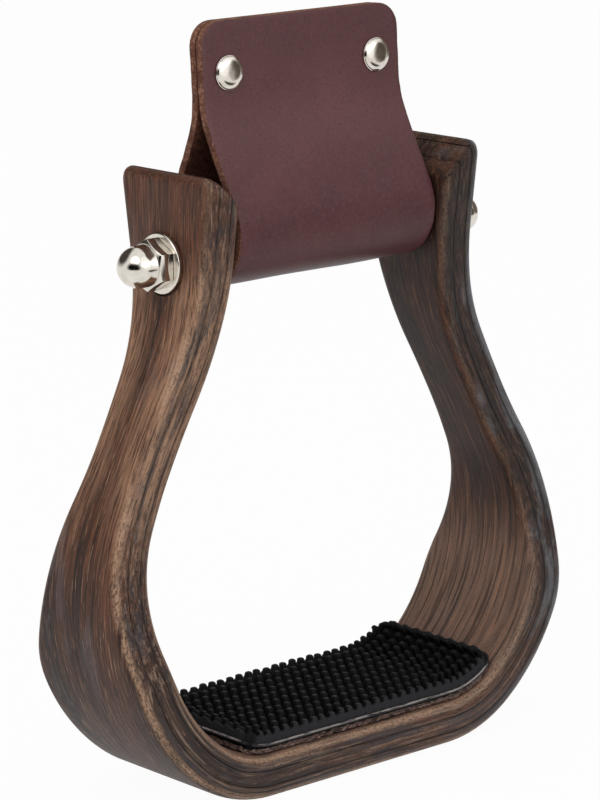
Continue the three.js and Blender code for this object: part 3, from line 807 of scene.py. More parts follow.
def oak_patterns(tree, at):
    """Adds the wood's own patterns to the masks, and the places that depend on them."""
    # The grain wanders slowly from side to side, by two or three millimetres
    drift = add(tree, "ShaderNodeMapRange", {
        "Value": grain(tree, at["strip"], (75, 26, 26), 1, 0.4, 70), "To Min": -5 * MM, "To Max": 5 * MM})
    astray = add(tree, "ShaderNodeMath", {0: at["across"], 1: drift}, operation="ADD")
    at["wandering"] = add(tree, "ShaderNodeCombineXYZ", {"X": at["along"], "Y": astray, "Z": at["height"]})
    for name, (place, *lumps) in OAK_PATTERNS.items():
        at[name] = grain(tree, at[place], *lumps)
    wide = add(tree, "ShaderNodeMapping", {"Vector": at["strip"], "Scale": (9, 105, 60)})
    at["rings"] = add(tree, "ShaderNodeTexWave", {
        "Vector": wide, "Scale": 1, "Distortion": 7, "Detail": 2, "Detail Scale": 0.8},
        out="Fac", bands_direction="Y")
    # Rings show in the greyer bands only, and edges are worn only in patches
    for name, pattern, low, high in (("in_bands", "bands", 0.62, 0.4), ("patchy", "patches", 0.37, 0.52)):
        at[name] = add(tree, "ShaderNodeMapRange", {
            "Value": at[pattern], "From Min": low, "From Max": high}, interpolation_type="SMOOTHSTEP")
    # Where the inner face is painted as lit: less the higher up the right leg
    painted_lit_inner = add(tree, "ShaderNodeMapRange", {"Value": at["upper_right"], "To Min": 1, "To Max": 0.45})
    at["painted_lit_inner"] = add(tree, "ShaderNodeMath", {0: painted_lit_inner, 1: at["inner"]}, operation="MULTIPLY")
    # The rounded edges are hardly worn on the right leg and at the top of the left one
    kept = add(tree, "ShaderNodeMath", {0: at["right"], 1: at["top_left"]}, operation="ADD")
    worn = add(tree, "ShaderNodeMapRange", {"Value": kept, "To Min": 1.1, "To Max": 0.22})
    for other in ("round_edge", "patchy"):
        worn = add(tree, "ShaderNodeMath", {0: worn, 1: at[other]}, operation="MULTIPLY")
    at["worn_edge"] = worn


def stained_oak():
    """The wood's streaks in their slow tones, then the coats one by one, and the relief."""
    material, tree = new_material("stained oak")
    at = stack_places(tree)
    oak_patterns(tree, at)
    base = add(tree, "ShaderNodeValToRGB", {"Fac": at["streaks"]}, stops=[
        (0.3, "#32221a"), (0.43, "#553c2f"), (0.56, "#735341"), (0.7, "#a07b64")])
    # Slow bands of tone run from warm to greyish, and from leg to leg the stain is warmest up
    # the left one and coldest at the bottom of the bend
    from_left = add(tree, "ShaderNodeMapRange", {
        "Value": at["along"], "From Min": -STRIP_HALF, "From Max": STRIP_HALF})
    for place, stops in (
            (at["bands"], [(0.32, "#a29b99"), (0.5, "#dccfc7"), (0.68, "#ffeee3")]),
            (from_left, [(0.1, "#ffdcc0"), (0.24, "#fddfca"), (0.33, "#c8c8cf"),
                         (0.47, "#c9c4c6"), (0.6, "#f6f0ec"), (1, "#e2dad6")])):
        tone = add(tree, "ShaderNodeValToRGB", {"Fac": place}, stops=stops)
        base = add(tree, "ShaderNodeMix", {0: 1, 6: base, 7: tone},
                   out=2, data_type="RGBA", blend_type="MULTIPLY")
    for pattern, low, high, share, tint, *rest in OAK_COATS:
        where = at[rest[0]] if rest else None
        base = layer(tree, base, at[pattern], low, high, share, tint, where, *rest[1:])
    sunk = add(tree, "ShaderNodeMapRange", {
        "Value": at["pores"], "From Min": 0.585, "From Max": 0.65, "To Max": -0.8},
        interpolation_type="SMOOTHSTEP")
    relief = add(tree, "ShaderNodeMath", {0: sunk, 1: at["streaks"]}, operation="ADD")
    rough = add(tree, "ShaderNodeMapRange", {"Value": at["streaks"], "To Min": 0.62, "To Max": 0.46})
    finish(tree, base, rough, relief, 0.15, 0.8, {"Specular IOR Level": 0.3})
    return material


oak = stained_oak()
for piece, node in zip(plies, ("ply_inner", "ply_middle", "ply_outer")):
    piece.data.materials.append(oak)
    piece.name = node + "_wood"
    hand_over(piece, "frame", "stained_wood", node)

# %% [markdown]
# The cover is one strip of leather, wetted, folded round the bolt and riveted shut above it.
# It is made here the way it is made in the shop: a flat flap, then the fold, the straight run
# into the loop, the loop round the bolt, and the same again on the rear. Each bend is a spin
# of the strip's last edge about the centre of the bend, and each straight run an extrusion.

# %% The leather strip
LEATHER = 2.45 * MM
LOOP_CENTRE = 6.9 * MM
LOOP_RADIUS = 14.425 * MM
FOLD_RADIUS = 30 * MM
FLAP_CLOSE = 44.3 * MM
FLAP_TOP = 63.8 * MM
FLAP_MIDDLE = 1.375 * MM
FLAP_CORNER = 7 * MM
COVER_WIDTH = 72.3 * MM
COVER_LEAN = math.radians(2.9)
STEP = 1.6 * MM
ACROSS = Vector((1, 0, 0))


def run_straight(way, length):
    """Extrudes the selected edges along a straight line, in short steps."""
    steps = max(1, round(length / STEP))
    for _ in range(steps):
        draw_out(way * length / steps)


def run_round(centre, angle, radius):
    """Spins the selected edges about a line along X."""
    steps = round(abs(angle) * radius / STEP)
    bpy.ops.mesh.spin(steps=steps, angle=-angle, center=centre, axis=ACROSS)


def fold_strip():
    """The strip without thickness: front flap, fold, loop round the bolt, fold, rear flap."""
    fold_y = FLAP_MIDDLE + FOLD_RADIUS
    fold_z = FLAP_CLOSE - LOOP_CENTRE
    reach = math.hypot(fold_y, fold_z)
    lean = math.atan2(fold_z, fold_y) + math.asin((LOOP_RADIUS + FOLD_RADIUS) / reach)
    bend = lean - math.pi / 2
    straight = math.sqrt(reach ** 2 - (LOOP_RADIUS + FOLD_RADIUS) ** 2)
    across_steps = round(COVER_WIDTH / STEP)
    up_steps = round((FLAP_TOP - FLAP_CLOSE) / STEP)
    bpy.ops.mesh.primitive_grid_add(x_subdivisions=across_steps, y_subdivisions=up_steps, size=1)
    strip = bpy.context.object
    strip.scale = (COVER_WIDTH, FLAP_TOP - FLAP_CLOSE, 1)
    strip.rotation_euler.x = math.pi / 2
    strip.location = (0, -FLAP_MIDDLE, (FLAP_TOP + FLAP_CLOSE) / 2)
    freeze(strip)
    edit(strip)
    pick("edges", lambda part: abs(middle(part).z - FLAP_CLOSE) < TOUCH and part.is_boundary)
    run_round((0, -fold_y, FLAP_CLOSE), -bend, FOLD_RADIUS)
    run_straight(Vector((0, -math.sin(bend), -math.cos(bend))), straight)
    run_round((0, 0, LOOP_CENTRE), math.pi + 2 * bend, LOOP_RADIUS)
    run_straight(Vector((0, -math.sin(bend), math.cos(bend))), straight)
    run_round((0, fold_y, FLAP_CLOSE), -bend, FOLD_RADIUS)
    run_straight(Vector((0, 0, 1)), FLAP_TOP - FLAP_CLOSE)
    pick_all()
    bpy.ops.mesh.remove_doubles(threshold=TOUCH)
    face_outwards()
    done()
    return strip


cover = fold_strip()
tall = [point.co.z for point in cover.data.vertices]
print("folded strip", len(cover.data.polygons), "faces, z", min(tall) / MM, max(tall) / MM)

# %% [markdown]
# A cut hide is never quite flat or straight. The sheet gets a slow undulation, the same on
# both flaps so that they still lie together, the cut edges wander by a tenth of a millimetre,
# and the four flap corners are rounded by drawing the square corner patches into discs.

# %% Corners and undulation
WAVE = 0.22 * MM
EDGE_WANDER = 0.16 * MM
EDGE_BAND = 2 * MM
CLOSING = 20 * MM
FAR_OFF = 60 * MM


def wave(x, y, z):
    """How far the hide waves off its form at a place, in lumps of about 19 mm."""
    place = Vector((x / 19, y / 19, z / 19)) / MM
    return noise.noise(place) * WAVE


normals = [point.normal.copy() for point in cover.data.vertices]
for point, normal in zip(cover.data.vertices, normals):
    x, z = draw_round(point.co.x, point.co.z, COVER_WIDTH / 2, FLAP_TOP, FLAP_CORNER)
    closed = min(1, max(0, (z - FLAP_CLOSE + CLOSING) / CLOSING))
    loose = wave(x, point.co.y, z) * (1 - closed)
    together = wave(x, FAR_OFF, z) * closed
    wander = noise.noise(Vector((x / 3, z / 3, point.co.y / 5)) / MM) * EDGE_WANDER
    at_side = abs(abs(x) - COVER_WIDTH / 2) < EDGE_BAND
    point.co = (x + (wander if at_side else 0), point.co.y + together, z)
    point.co += normal * loose

# %% [markdown]
# Now the sheet gets its thickness. The grain side faces out, the flesh side in, and the cut
# edge all round shows raw hide, so these are three materials. Then the rivet holes are
# punched, the cut edges are rubbed slightly round, and the whole is hung on the bolt at the
# small angle it has in the photograph.

# %% Thickness, holes and edges
RIVET_X = 27.15 * MM
RIVET_Z = 49.4 * MM
RIVET_HOLE = 3.9 * MM
RUBBED_EDGE = 0.3 * MM


def lean_and_raise(piece):
    """Takes a piece of the cover from the bolt's own upright frame to its place."""
    only(piece)
    piece.location = (0, 0, BOLT_HEIGHT)
    piece.rotation_euler = (-COVER_LEAN, 0, 0)
    freeze(piece)


for name in ("leather grain", "leather flesh", "leather edge"):
    cover.data.materials.append(new_material(name)[0])
apply_modifier(cover, "SOLIDIFY", thickness=LEATHER, offset=0, material_offset=1, material_offset_rim=2)
for side in (-1, 1):
    bpy.ops.mesh.primitive_cylinder_add(
        vertices=32, radius=RIVET_HOLE / 2, depth=20 * MM,
        location=(side * RIVET_X, 0, RIVET_Z), rotation=(math.pi / 2, 0, 0))
    cut_away(cover, bpy.context.object)
edit(cover)
rims = round_edges(lambda part: part.calc_face_angle(0) > 1.1
                   and any(face.material_index == 2 for face in part.link_faces),
                   RUBBED_EDGE, 2, clamp=True)
done()
lean_and_raise(cover)
smooth(cover, 45)
cover.name = "leather_cover_hide"
print(rims, "rim edges rubbed round")
tell_reach(cover, "leather_cover")

# %% [markdown]
# The grain side is waxed oxblood: one even red brown, slightly mottled where the hide took
# more or less dye, with a fine pebble and a soft sheen. The flesh side is rough brown suede.
# The cut edge was never dyed through, so it stays tan orange, with loose fibres and a darker
# line where the dye crept in from the faces.

# %% Leather


def speck(tree, place, size, detail=2, roughness=0.5, offset=0):
    """Even noise whose lumps have this size in millimetres."""
    return grain(tree, place, (size, size, size), detail, roughness, offset)


def paint_grain_side(tree):
    """Waxed and dyed, with its pebble and its pores."""
    place = add(tree, "ShaderNodeTexCoord", out="Object")
    mottle = speck(tree, place, 22, 5, 0.62)
    base = add(tree, "ShaderNodeValToRGB", {"Fac": mottle}, stops=[
        (0.3, "#492326"), (0.5, "#52292b"), (0.7, "#5d3233")])
    # Painted sheen: the flap is painted lighter from its middle up, and darker again near its top
    up = add(tree, "ShaderNodeSeparateXYZ", {"Vector": place}, out="Z")
    base = layer(tree, base, up, 165 * MM, 186 * MM, 0.4, "#6c4747")
    base = layer(tree, base, up, 196 * MM, 209 * MM, 0.35, "#4a2528")
    # The pebble of the hide, about half a millimetre apart, with dye in its hollows and dust on top
    pebble = add(tree, "ShaderNodeTexVoronoi", {"Vector": place, "Scale": 1 / (0.55 * MM)}, out="Distance")
    base = layer(tree, base, speck(tree, place, 1.3, 3, 0.65, 31), 0.45, 0.62, 0.3, "#5f3c3f")
    pores = speck(tree, place, 0.6, 2, 0.6, 3)
    base = layer(tree, base, pores, 0.54, 0.68, 0.45, "#2e1a1c")
    base = layer(tree, base, speck(tree, place, 0.8, 2, 0.6, 8), 0.6, 0.72, 0.25, "#785356")
    rough = add(tree, "ShaderNodeMapRange", {"Value": mottle, "To Min": 0.4, "To Max": 0.52})
    sunk = add(tree, "ShaderNodeMapRange", {
        "Value": pores, "From Min": 0.54, "From Max": 0.68, "To Max": -0.6})
    height = add(tree, "ShaderNodeMath", {0: pebble, 1: sunk}, operation="ADD")
    finish(tree, base, rough, height, 0.05, 0.5, {"Specular IOR Level": 0.32})


def paint_flesh_side(tree):
    """Rough brown suede."""
    place = add(tree, "ShaderNodeTexCoord", out="Object")
    nap = speck(tree, place, 1.4, 5, 0.7, 11)
    base = add(tree, "ShaderNodeValToRGB", {"Fac": nap}, stops=[
        (0.3, "#3b231c"), (0.5, "#5a372b"), (0.7, "#7d5440")])
    rough = add(tree, "ShaderNodeMapRange", {"Value": nap, "To Min": 0.9, "To Max": 1})
    finish(tree, base, rough, nap, 0.3, 0.9, {"Specular IOR Level": 0.15})


def paint_cut_edge(tree):
    """Undyed fibres, with dark places where dye crept in."""
    place = add(tree, "ShaderNodeTexCoord", out="Object")
    fibres = speck(tree, place, 0.7, 4, 0.75, 17)
    base = add(tree, "ShaderNodeValToRGB", {"Fac": fibres}, stops=[
        (0.3, "#4a2d24"), (0.48, "#78503f"), (0.62, "#a07560"), (0.75, "#c29c86")])
    base = layer(tree, base, speck(tree, place, 6, 3, 0.6, 23), 0.45, 0.62, 0.6, "#4c2b25")
    rough = add(tree, "ShaderNodeMapRange", {"Value": fibres, "To Min": 0.84, "To Max": 0.95})
    finish(tree, base, rough, fibres, 0.35, 0.9, {"Specular IOR Level": 0.2})


for slot, paint in zip(cover.data.materials, (paint_grain_side, paint_flesh_side, paint_cut_edge)):
    paint(slot.node_tree)
hand_over(cover, "cover", "oxblood_leather", "leather_cover")

# %% [markdown]
# Two tubular rivets close the cover. Each shows a low nickel dome with a thin flat rim on the
# front and another on the rear. A dome is half a ball, pressed nearly flat; its lower edge is
# extruded into the rim, and on the rear ones the underside is inset and drawn out to a post.

# %% Rivets
CAP_DIAMETER = 9.6 * MM
CAP_HEIGHT = 1.7 * MM
CAP_RIM = 0.45 * MM
CAP_LEDGE = 0.15 * MM
CAP_EDGE = 0.12 * MM
POST_DIAMETER = 3.6 * MM
POST_SHORT = 0.15 * MM
CAP_SEAT = FLAP_MIDDLE + LEATHER / 2 + 0.1 * MM


def rivet_cap(name, side, way, post):
    """A cap on the front (way -1) or the rear (way 1) of a flap, with or without its post."""
    dome = CAP_DIAMETER / 2 - CAP_LEDGE
    bpy.ops.mesh.primitive_uv_sphere_add(segments=64, ring_count=48, radius=dome)
    cap = bpy.context.object
    cap.name = name
    # Pressed nearly flat in the middle and rounded off near the rim
    for point in cap.data.vertices:
        near = min(1, math.hypot(point.co.x, point.co.y) / dome)
        point.co.z = math.copysign((CAP_HEIGHT - CAP_RIM) * (1 - near ** 3) ** 0.45, point.co.z)
    edit(cap)
    saw((0, 0, 0), (0, 0, -1))
    pick("faces", lambda part: abs(middle(part).z) < TOUCH and len(part.verts) > 8)
    draw_out((0, 0, -CAP_RIM))
    wide = CAP_DIAMETER / (CAP_DIAMETER - 2 * CAP_LEDGE)
    pick("verts", lambda part: part.co.z < TOUCH)
    bpy.ops.transform.resize(value=(wide, wide, 1), center_override=(0, 0, 0))
    round_edges(lambda part: abs(middle(part).z + CAP_RIM) < TOUCH, CAP_EDGE, 3)
    if post:
        pick("faces", lambda part: abs(middle(part).z + CAP_RIM) < TOUCH and len(part.verts) > 8)
        bpy.ops.mesh.inset(thickness=(CAP_DIAMETER - POST_DIAMETER) / 2 - CAP_EDGE)
        draw_out((0, 0, POST_SHORT - 2 * CAP_SEAT))
    done()
    cap.rotation_euler.x = way * -math.pi / 2
    cap.location = (side * RIVET_X, way * (CAP_SEAT + CAP_RIM), RIVET_Z)
    freeze(cap)
    lean_and_raise(cap)
    smooth(cap, 32)
    return cap


rivets = {}
for side, word in ((-1, "left"), (1, "right")):
    rivets["rivet_cap_" + word] = rivet_cap("rivet_front_" + word, side, -1, False)
    rivets["rivet_post_" + word] = rivet_cap("rivet_rear_" + word, side, 1, True)
for node, piece in rivets.items():
    tell_reach(piece, node)

# %% [markdown]
# The rod through the neck carries a domed nut and a washer on each side, all nickel plated.
# The nut is a real one's shape: a hexagon, turned to a cone at its outer end so that each
# flat ends in a curve, with a bullet-shaped dome on it. That is one six-sided cylinder cut
# with a cone, joined with half a ball on a short neck, and bored for the rod.

# %% Nuts and washers
ACROSS_FLATS = 12.7 * MM
HEX_HEIGHT = 4.6 * MM
HEX_CHAMFER = 0.7 * MM
DOME_DIAMETER = 11.6 * MM
DOME_NECK = 2.5 * MM
DOME_STEPS = 20
NUT_BORE = ROD_DIAMETER + 0.4 * MM
NUT_BORE_DEPTH = 9 * MM
WIDE_BORE = ROD_DIAMETER + 0.6 * MM
NUT_EDGE = 0.14 * MM
WASHER_THICKNESS = 1.6 * MM
WASHER_EDGE = 0.45 * MM


def upright_cylinder(radius, low, high, vertices=96, top=None):
    """A cylinder, or a cone's frustum, along Z between two heights."""
    bpy.ops.mesh.primitive_cone_add(
        vertices=vertices, radius1=radius, radius2=radius if top is None else top,
        depth=high - low, location=(0, 0, (low + high) / 2))
    freeze(bpy.context.object)
    return bpy.context.object


def bore_and_round(name, piece, bore, depth, radius, segments, sharp):
    """Bores a turned piece from below, then rounds its sharp edges."""
    cut_away(piece, upright_cylinder(bore / 2, -MM, depth, 64))
    piece.name = name
    edit(piece)
    round_edges(lambda part: part.calc_face_angle(0) > sharp, radius, segments, clamp=True)
    done()
    return piece


def domed_nut(name):
    """A nut on its base: the hexagon, its turned end, and the dome on its neck."""
    corner = ACROSS_FLATS / math.sqrt(3)
    nut = upright_cylinder(corner, 0, HEX_HEIGHT, 6)
    nut.rotation_euler.z = math.pi / 6
    freeze(nut)
    # The cone stands at 30 degrees to the hexagon's face
    slope = math.sqrt(3)
    cone_top = corner - HEX_CHAMFER * slope
    cone_foot = cone_top + (HEX_HEIGHT + MM) * slope
    cone = upright_cylinder(cone_foot, -MM, HEX_HEIGHT + MM, 96, cone_top - MM * slope)
    # Turned a little, so that no edge of the cone meets a corner of the hexagon
    cone.rotation_euler.z = math.radians(1.3)
    freeze(cone)
    cut_away(nut, cone, "INTERSECT")
    neck = upright_cylinder(DOME_DIAMETER / 2, HEX_HEIGHT - MM, HEX_HEIGHT + DOME_NECK)
    edit(neck)
    pick("faces", lambda part: middle(part).z > HEX_HEIGHT + DOME_NECK - TOUCH)
    radius = DOME_DIAMETER / 2
    for step in range(DOME_STEPS - 1):
        low_angle, high_angle = (math.pi / 2 * k / DOME_STEPS for k in (step, step + 1))
        rise = radius * (math.sin(high_angle) - math.sin(low_angle))
        shrink = math.cos(high_angle) / math.cos(low_angle)
        draw_out((0, 0, rise))
        bpy.ops.transform.resize(value=(shrink, shrink, 1))
    last = radius * (1 - math.sin(math.pi / 2 * (DOME_STEPS - 1) / DOME_STEPS))
    bpy.ops.mesh.poke(offset=last)
    done()
    cut_away(nut, neck, "UNION")
    return bore_and_round(name, nut, NUT_BORE, NUT_BORE_DEPTH, NUT_EDGE, segments=2, sharp=0.45)


def washer(name):
    """A washer on its base."""
    ring = upright_cylinder(WASHER_DIAMETER / 2, 0, WASHER_THICKNESS)
    return bore_and_round(name, ring, WIDE_BORE, 2 * WASHER_THICKNESS, WASHER_EDGE, segments=5, sharp=0.8)


def lay_along_bolt(piece, side, start):
    """Turns a piece from Z onto the bolt, with its base at a distance from the middle."""
    only(piece)
    piece.rotation_euler.y = side * math.pi / 2
    piece.location = (side * start, 0, BOLT_HEIGHT)
    freeze(piece)
    smooth(piece, 30)


hardware = {}
for side, word in ((-1, "left"), (1, "right")):
    for kind, make in (("domed_nut_", domed_nut), ("washer_", washer)):
        node = kind + word
        piece = make(node + "_metal")
        low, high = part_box(node)
        lay_along_bolt(piece, side, low.x if side > 0 else -high.x)
        hardware[node] = piece
for node, piece in hardware.items():
    tell_reach(piece, node)

# %% [markdown]
# A free-turning sleeve on the rod keeps the strap from wearing. It is a plain zinc-plated
# tube: a cylinder whose two ends are inset and bridged through, with its edges broken.

# %% Sleeve
SLEEVE_DIAMETER = 12 * MM


def tube(name, node, outer, inner):
    """A tube along the bolt, as long as its CAD node."""
    low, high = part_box(node)
    piece = upright_cylinder(outer / 2, low.x, high.x)
    piece.name = name
    edit(piece)
    pick("faces", lambda part: len(part.verts) > 8)
    bpy.ops.mesh.inset(thickness=(outer - inner) / 2)
    bpy.ops.mesh.bridge_edge_loops()
    round_edges(lambda part: part.calc_face_angle(0) > 1, 0.25 * MM, 3)
    done()
    lay_along_bolt(piece, 1, 0)
    return piece


sleeve = tube("bolt_sleeve_tube", "bolt_sleeve", SLEEVE_DIAMETER, WIDE_BORE)
tell_reach(sleeve, "bolt_sleeve")

# %% [markdown]
# Nickel plate is warmer than chrome and mirrors its surroundings sharply, with faint
# polishing lines and a few dull spots. Zinc plate is bluish, dull and blotchy.

# %% Nickel and zinc


def nickel_plate():
    """Warm, sharp and slightly hazed, for the nuts, washers and rivets."""
    material, tree = new_material("nickel plate")
    place = add(tree, "ShaderNodeTexCoord", out="Object")
    haze = speck(tree, place, 3.5, 4, 0.65)
    base = add(tree, "ShaderNodeValToRGB", {"Fac": haze}, stops=[(0.3, "#cfc8bd"), (0.7, "#e4ded5")])
    base = layer(tree, base, speck(tree, place, 0.7, 3, 0.7, 5), 0.6, 0.72, 0.25, "#8d867b")
    dull = add(tree, "ShaderNodeMapRange", {"Value": haze, "To Min": 0.07, "To Max": 0.17})
    finish(tree, base, dull, haze, 0.03, 0.3, {"Metallic": 1})
    return material


def zinc_plate():
    """Bluish and dull, for the sleeve and the rod."""
    material, tree = new_material("zinc plate")
    place = add(tree, "ShaderNodeTexCoord", out="Object")
    bloom_and_sheen = speck(tree, place, 4, 5, 0.7)
    base = add(tree, "ShaderNodeValToRGB", {"Fac": bloom_and_sheen}, stops=[(0.3, "#8f9499"), (0.7, "#b7babd")])
    dull = add(tree, "ShaderNodeMapRange", {"Value": bloom_and_sheen, "To Min": 0.32, "To Max": 0.5})
    drawn = grain(tree, place, (30, 0.3, 0.3), 2, 0.6, 9)
    finish(tree, base, dull, drawn, 0.02, 0.4, {"Metallic": 1})
    return material


nickel = nickel_plate()
zinc = zinc_plate()
for node, piece in hardware.items():
    piece.data.materials.append(nickel)
    hand_over(piece, "frame", "nickel_steel", node)
for node, piece in rivets.items():
    piece.data.materials.append(nickel)
    hand_over(piece, "cover", "nickel_steel", node)
sleeve.data.materials.append(zinc)
hand_over(sleeve, "sleeve", "zinc_steel", "bolt_sleeve")
rod = bpy.data.objects["bolt_rod"]
rod.data.materials.clear()
rod.data.materials.append(zinc)

# %% [markdown]
# The tread carries a moulded rubber pad: a thin plate with some three hundred tapered nubs
# that grip the boot sole, and a low skirt round them that joins the outer nubs. It is made
# flat, as it leaves the mould, and then pressed onto the wrapped tread like the strips. One
# grid face per nub is inset and raised a few times over, which draws out a rounded peg.

# %% The pad's plate and nubs
PAD_OFFSET = 5.9 * MM
PITCH_ALONG = 3.44 * MM
PITCH_ACROSS = 4.9 * MM
COLUMNS = 29
ROWS = 10
NUB_SIDE = 2.3 * MM
NUB_FOOT = 2.1 * MM
NUB_HEIGHT = 3.7 * MM
END_MARGINS = 2.4 * MM
SIDE_MARGINS = 1.2 * MM
NUB_CORNER = 0.38 * MM
NUB_GAP = 0.3 * MM
LIP_RADIUS = 0.25 * MM
PLATE_LOW = 2.6 * MM
PLATE_TOP = 3.5 * MM
FOOT_LOW = 1.3 * MM
FOOT_INSET = 2.3 * MM
# The nub from its foot to its tip: how far each step draws in, and how far it rises, in mm
NUB_STEPS = ((0.1, 0.5), (0.13, 2.8), (0.1, 0.24), (0.16, 0.16))
TIP_WANDER = 0.45 * MM
PAD_LENGTH = (COLUMNS - 1) * PITCH_ALONG + NUB_FOOT + END_MARGINS
PAD_DEPTH = (ROWS - 1) * PITCH_ACROSS + NUB_FOOT + SIDE_MARGINS
PAD_CORNER = 3.3 * MM
WIDE_CORNER = 6.5 * MM
WIDE_SHARE = 0.6


def at_corner(point):
    """Whether a point is one of the flat pad's four corners."""
    return abs(abs(point.x) - PAD_LENGTH / 2) < TOUCH and abs(abs(point.y) - PAD_DEPTH / 2) < TOUCH


def is_nub_cell(part):
    """A top face of the plate that grows a nub: all of them but the four at the corners."""
    spot = middle(part)
    inside = abs(spot.x) < PAD_LENGTH / 2 - PITCH_ALONG or abs(spot.y) < PAD_DEPTH / 2 - PITCH_ACROSS
    return inside and abs(spot.z - PLATE_TOP) < TOUCH and part.normal.z > 0.9


def nubbed_plate():
    """The plate with its rounded corners and its foot, left open for the nubs."""
    bpy.ops.mesh.primitive_grid_add(
        x_subdivisions=COLUMNS, y_subdivisions=ROWS, size=1, location=(0, 0, PLATE_LOW))
    pad = bpy.context.object
    pad.name = "pad_flat"
    pad.scale = (COLUMNS * PITCH_ALONG, ROWS * PITCH_ACROSS, 1)
    freeze(pad)
    for point in pad.data.vertices:
        if abs(point.co.x) > (COLUMNS - 1) * PITCH_ALONG / 2:
            point.co.x = math.copysign(PAD_LENGTH / 2, point.co.x)
        if abs(point.co.y) > (ROWS - 1) * PITCH_ACROSS / 2:
            point.co.y = math.copysign(PAD_DEPTH / 2, point.co.y)
    edit(pad)
    pick("verts", lambda part: at_corner(part.co))
    bpy.ops.mesh.bevel(offset=PAD_CORNER, segments=8, affect="VERTICES")
    pick_all()
    draw_out((0, 0, PLATE_TOP - PLATE_LOW))
    face_outwards()
    round_edges(lambda part: abs(middle(part).z - PLATE_TOP) < TOUCH and part.calc_face_angle(0) > 1,
                LIP_RADIUS, 2)
    pick("faces", lambda part: abs(middle(part).z - PLATE_LOW) < TOUCH)
    bpy.ops.mesh.inset(thickness=FOOT_INSET)
    draw_out((0, 0, FOOT_LOW - PLATE_LOW))
    return pad


def raise_nubs(pad):
    """Draws the nubs out of the open plate, closes it, and gives back their number."""
    count = pick("faces", is_nub_cell)
    bpy.ops.mesh.inset(thickness=NUB_GAP, use_individual=True)
    shape = bmesh.from_edit_mesh(pad.data)
    for part in shape.faces:
        if part.select:
            spot = middle(part)
            column = round(spot.x / PITCH_ALONG)
            row = math.floor(spot.y / PITCH_ACROSS) + 0.5
            for point in part.verts:
                point.co.x = column * PITCH_ALONG + math.copysign(NUB_SIDE / 2, point.co.x - spot.x)
                point.co.y = row * PITCH_ACROSS + math.copysign(NUB_SIDE / 2, point.co.y - spot.y)
    bmesh.update_edit_mesh(pad.data)
    for thickness, rise in NUB_STEPS:
        bpy.ops.mesh.inset(thickness=thickness * MM, depth=rise * MM, use_individual=True)
    round_edges(lambda part: abs(part.verts[0].co.z - part.verts[1].co.z) > 0.1 * MM
                and middle(part).z > PLATE_TOP + 0.1 * MM, NUB_CORNER, 2, clamp=True)
    # No two nubs come out of the mould quite alike, so each leans a little its own way
    shape = bmesh.from_edit_mesh(pad.data)
    for point in shape.verts:
        rise = (point.co.z - PLATE_TOP) / NUB_HEIGHT
        if rise > 0.05:
            cell = Vector((round(point.co.x / PITCH_ALONG), math.floor(point.co.y / PITCH_ACROSS), 0.5))
            lean = noise.cell_vector(cell) - Vector((0.5, 0.5, 0.5))
            point.co += Vector((lean.x, lean.y, lean.z - 0.5)) * TIP_WANDER * rise
    bmesh.update_edit_mesh(pad.data)
    done()
    return count


pad = nubbed_plate()
nub_count = raise_nubs(pad)
print(nub_count, "nubs", len(pad.data.polygons), "faces, tips at",
      max(p.co.z for p in pad.data.vertices) / MM)

# %% [markdown]
# The skirt is a low wall that runs round the outermost nubs and swells where it meets each.
# It is a rounded rectangle, inset and hollowed to a ring, drawn up, and pushed in and out
# along its outer face. Then it is joined to the plate, so that the pad is one skin.

# %% The skirt
SKIRT_LEDGE = 0.75 * MM
SKIRT_WIDTH = 1.5 * MM
SKIRT_TOP = 6 * MM
SKIRT_SUNK = 0.4 * MM
SKIRT_SWELL = 0.3 * MM
SKIRT_WAVE = 0.9 * MM
SKIRT_CORNER = PAD_CORNER - 0.5 * MM
SKIRT_EDGE = 0.4 * MM


def swell(place, pitch, shift):
    """1 beside a nub and 0 half way between two."""
    return 0.5 + 0.5 * math.cos(2 * math.pi * (place - shift) / pitch)


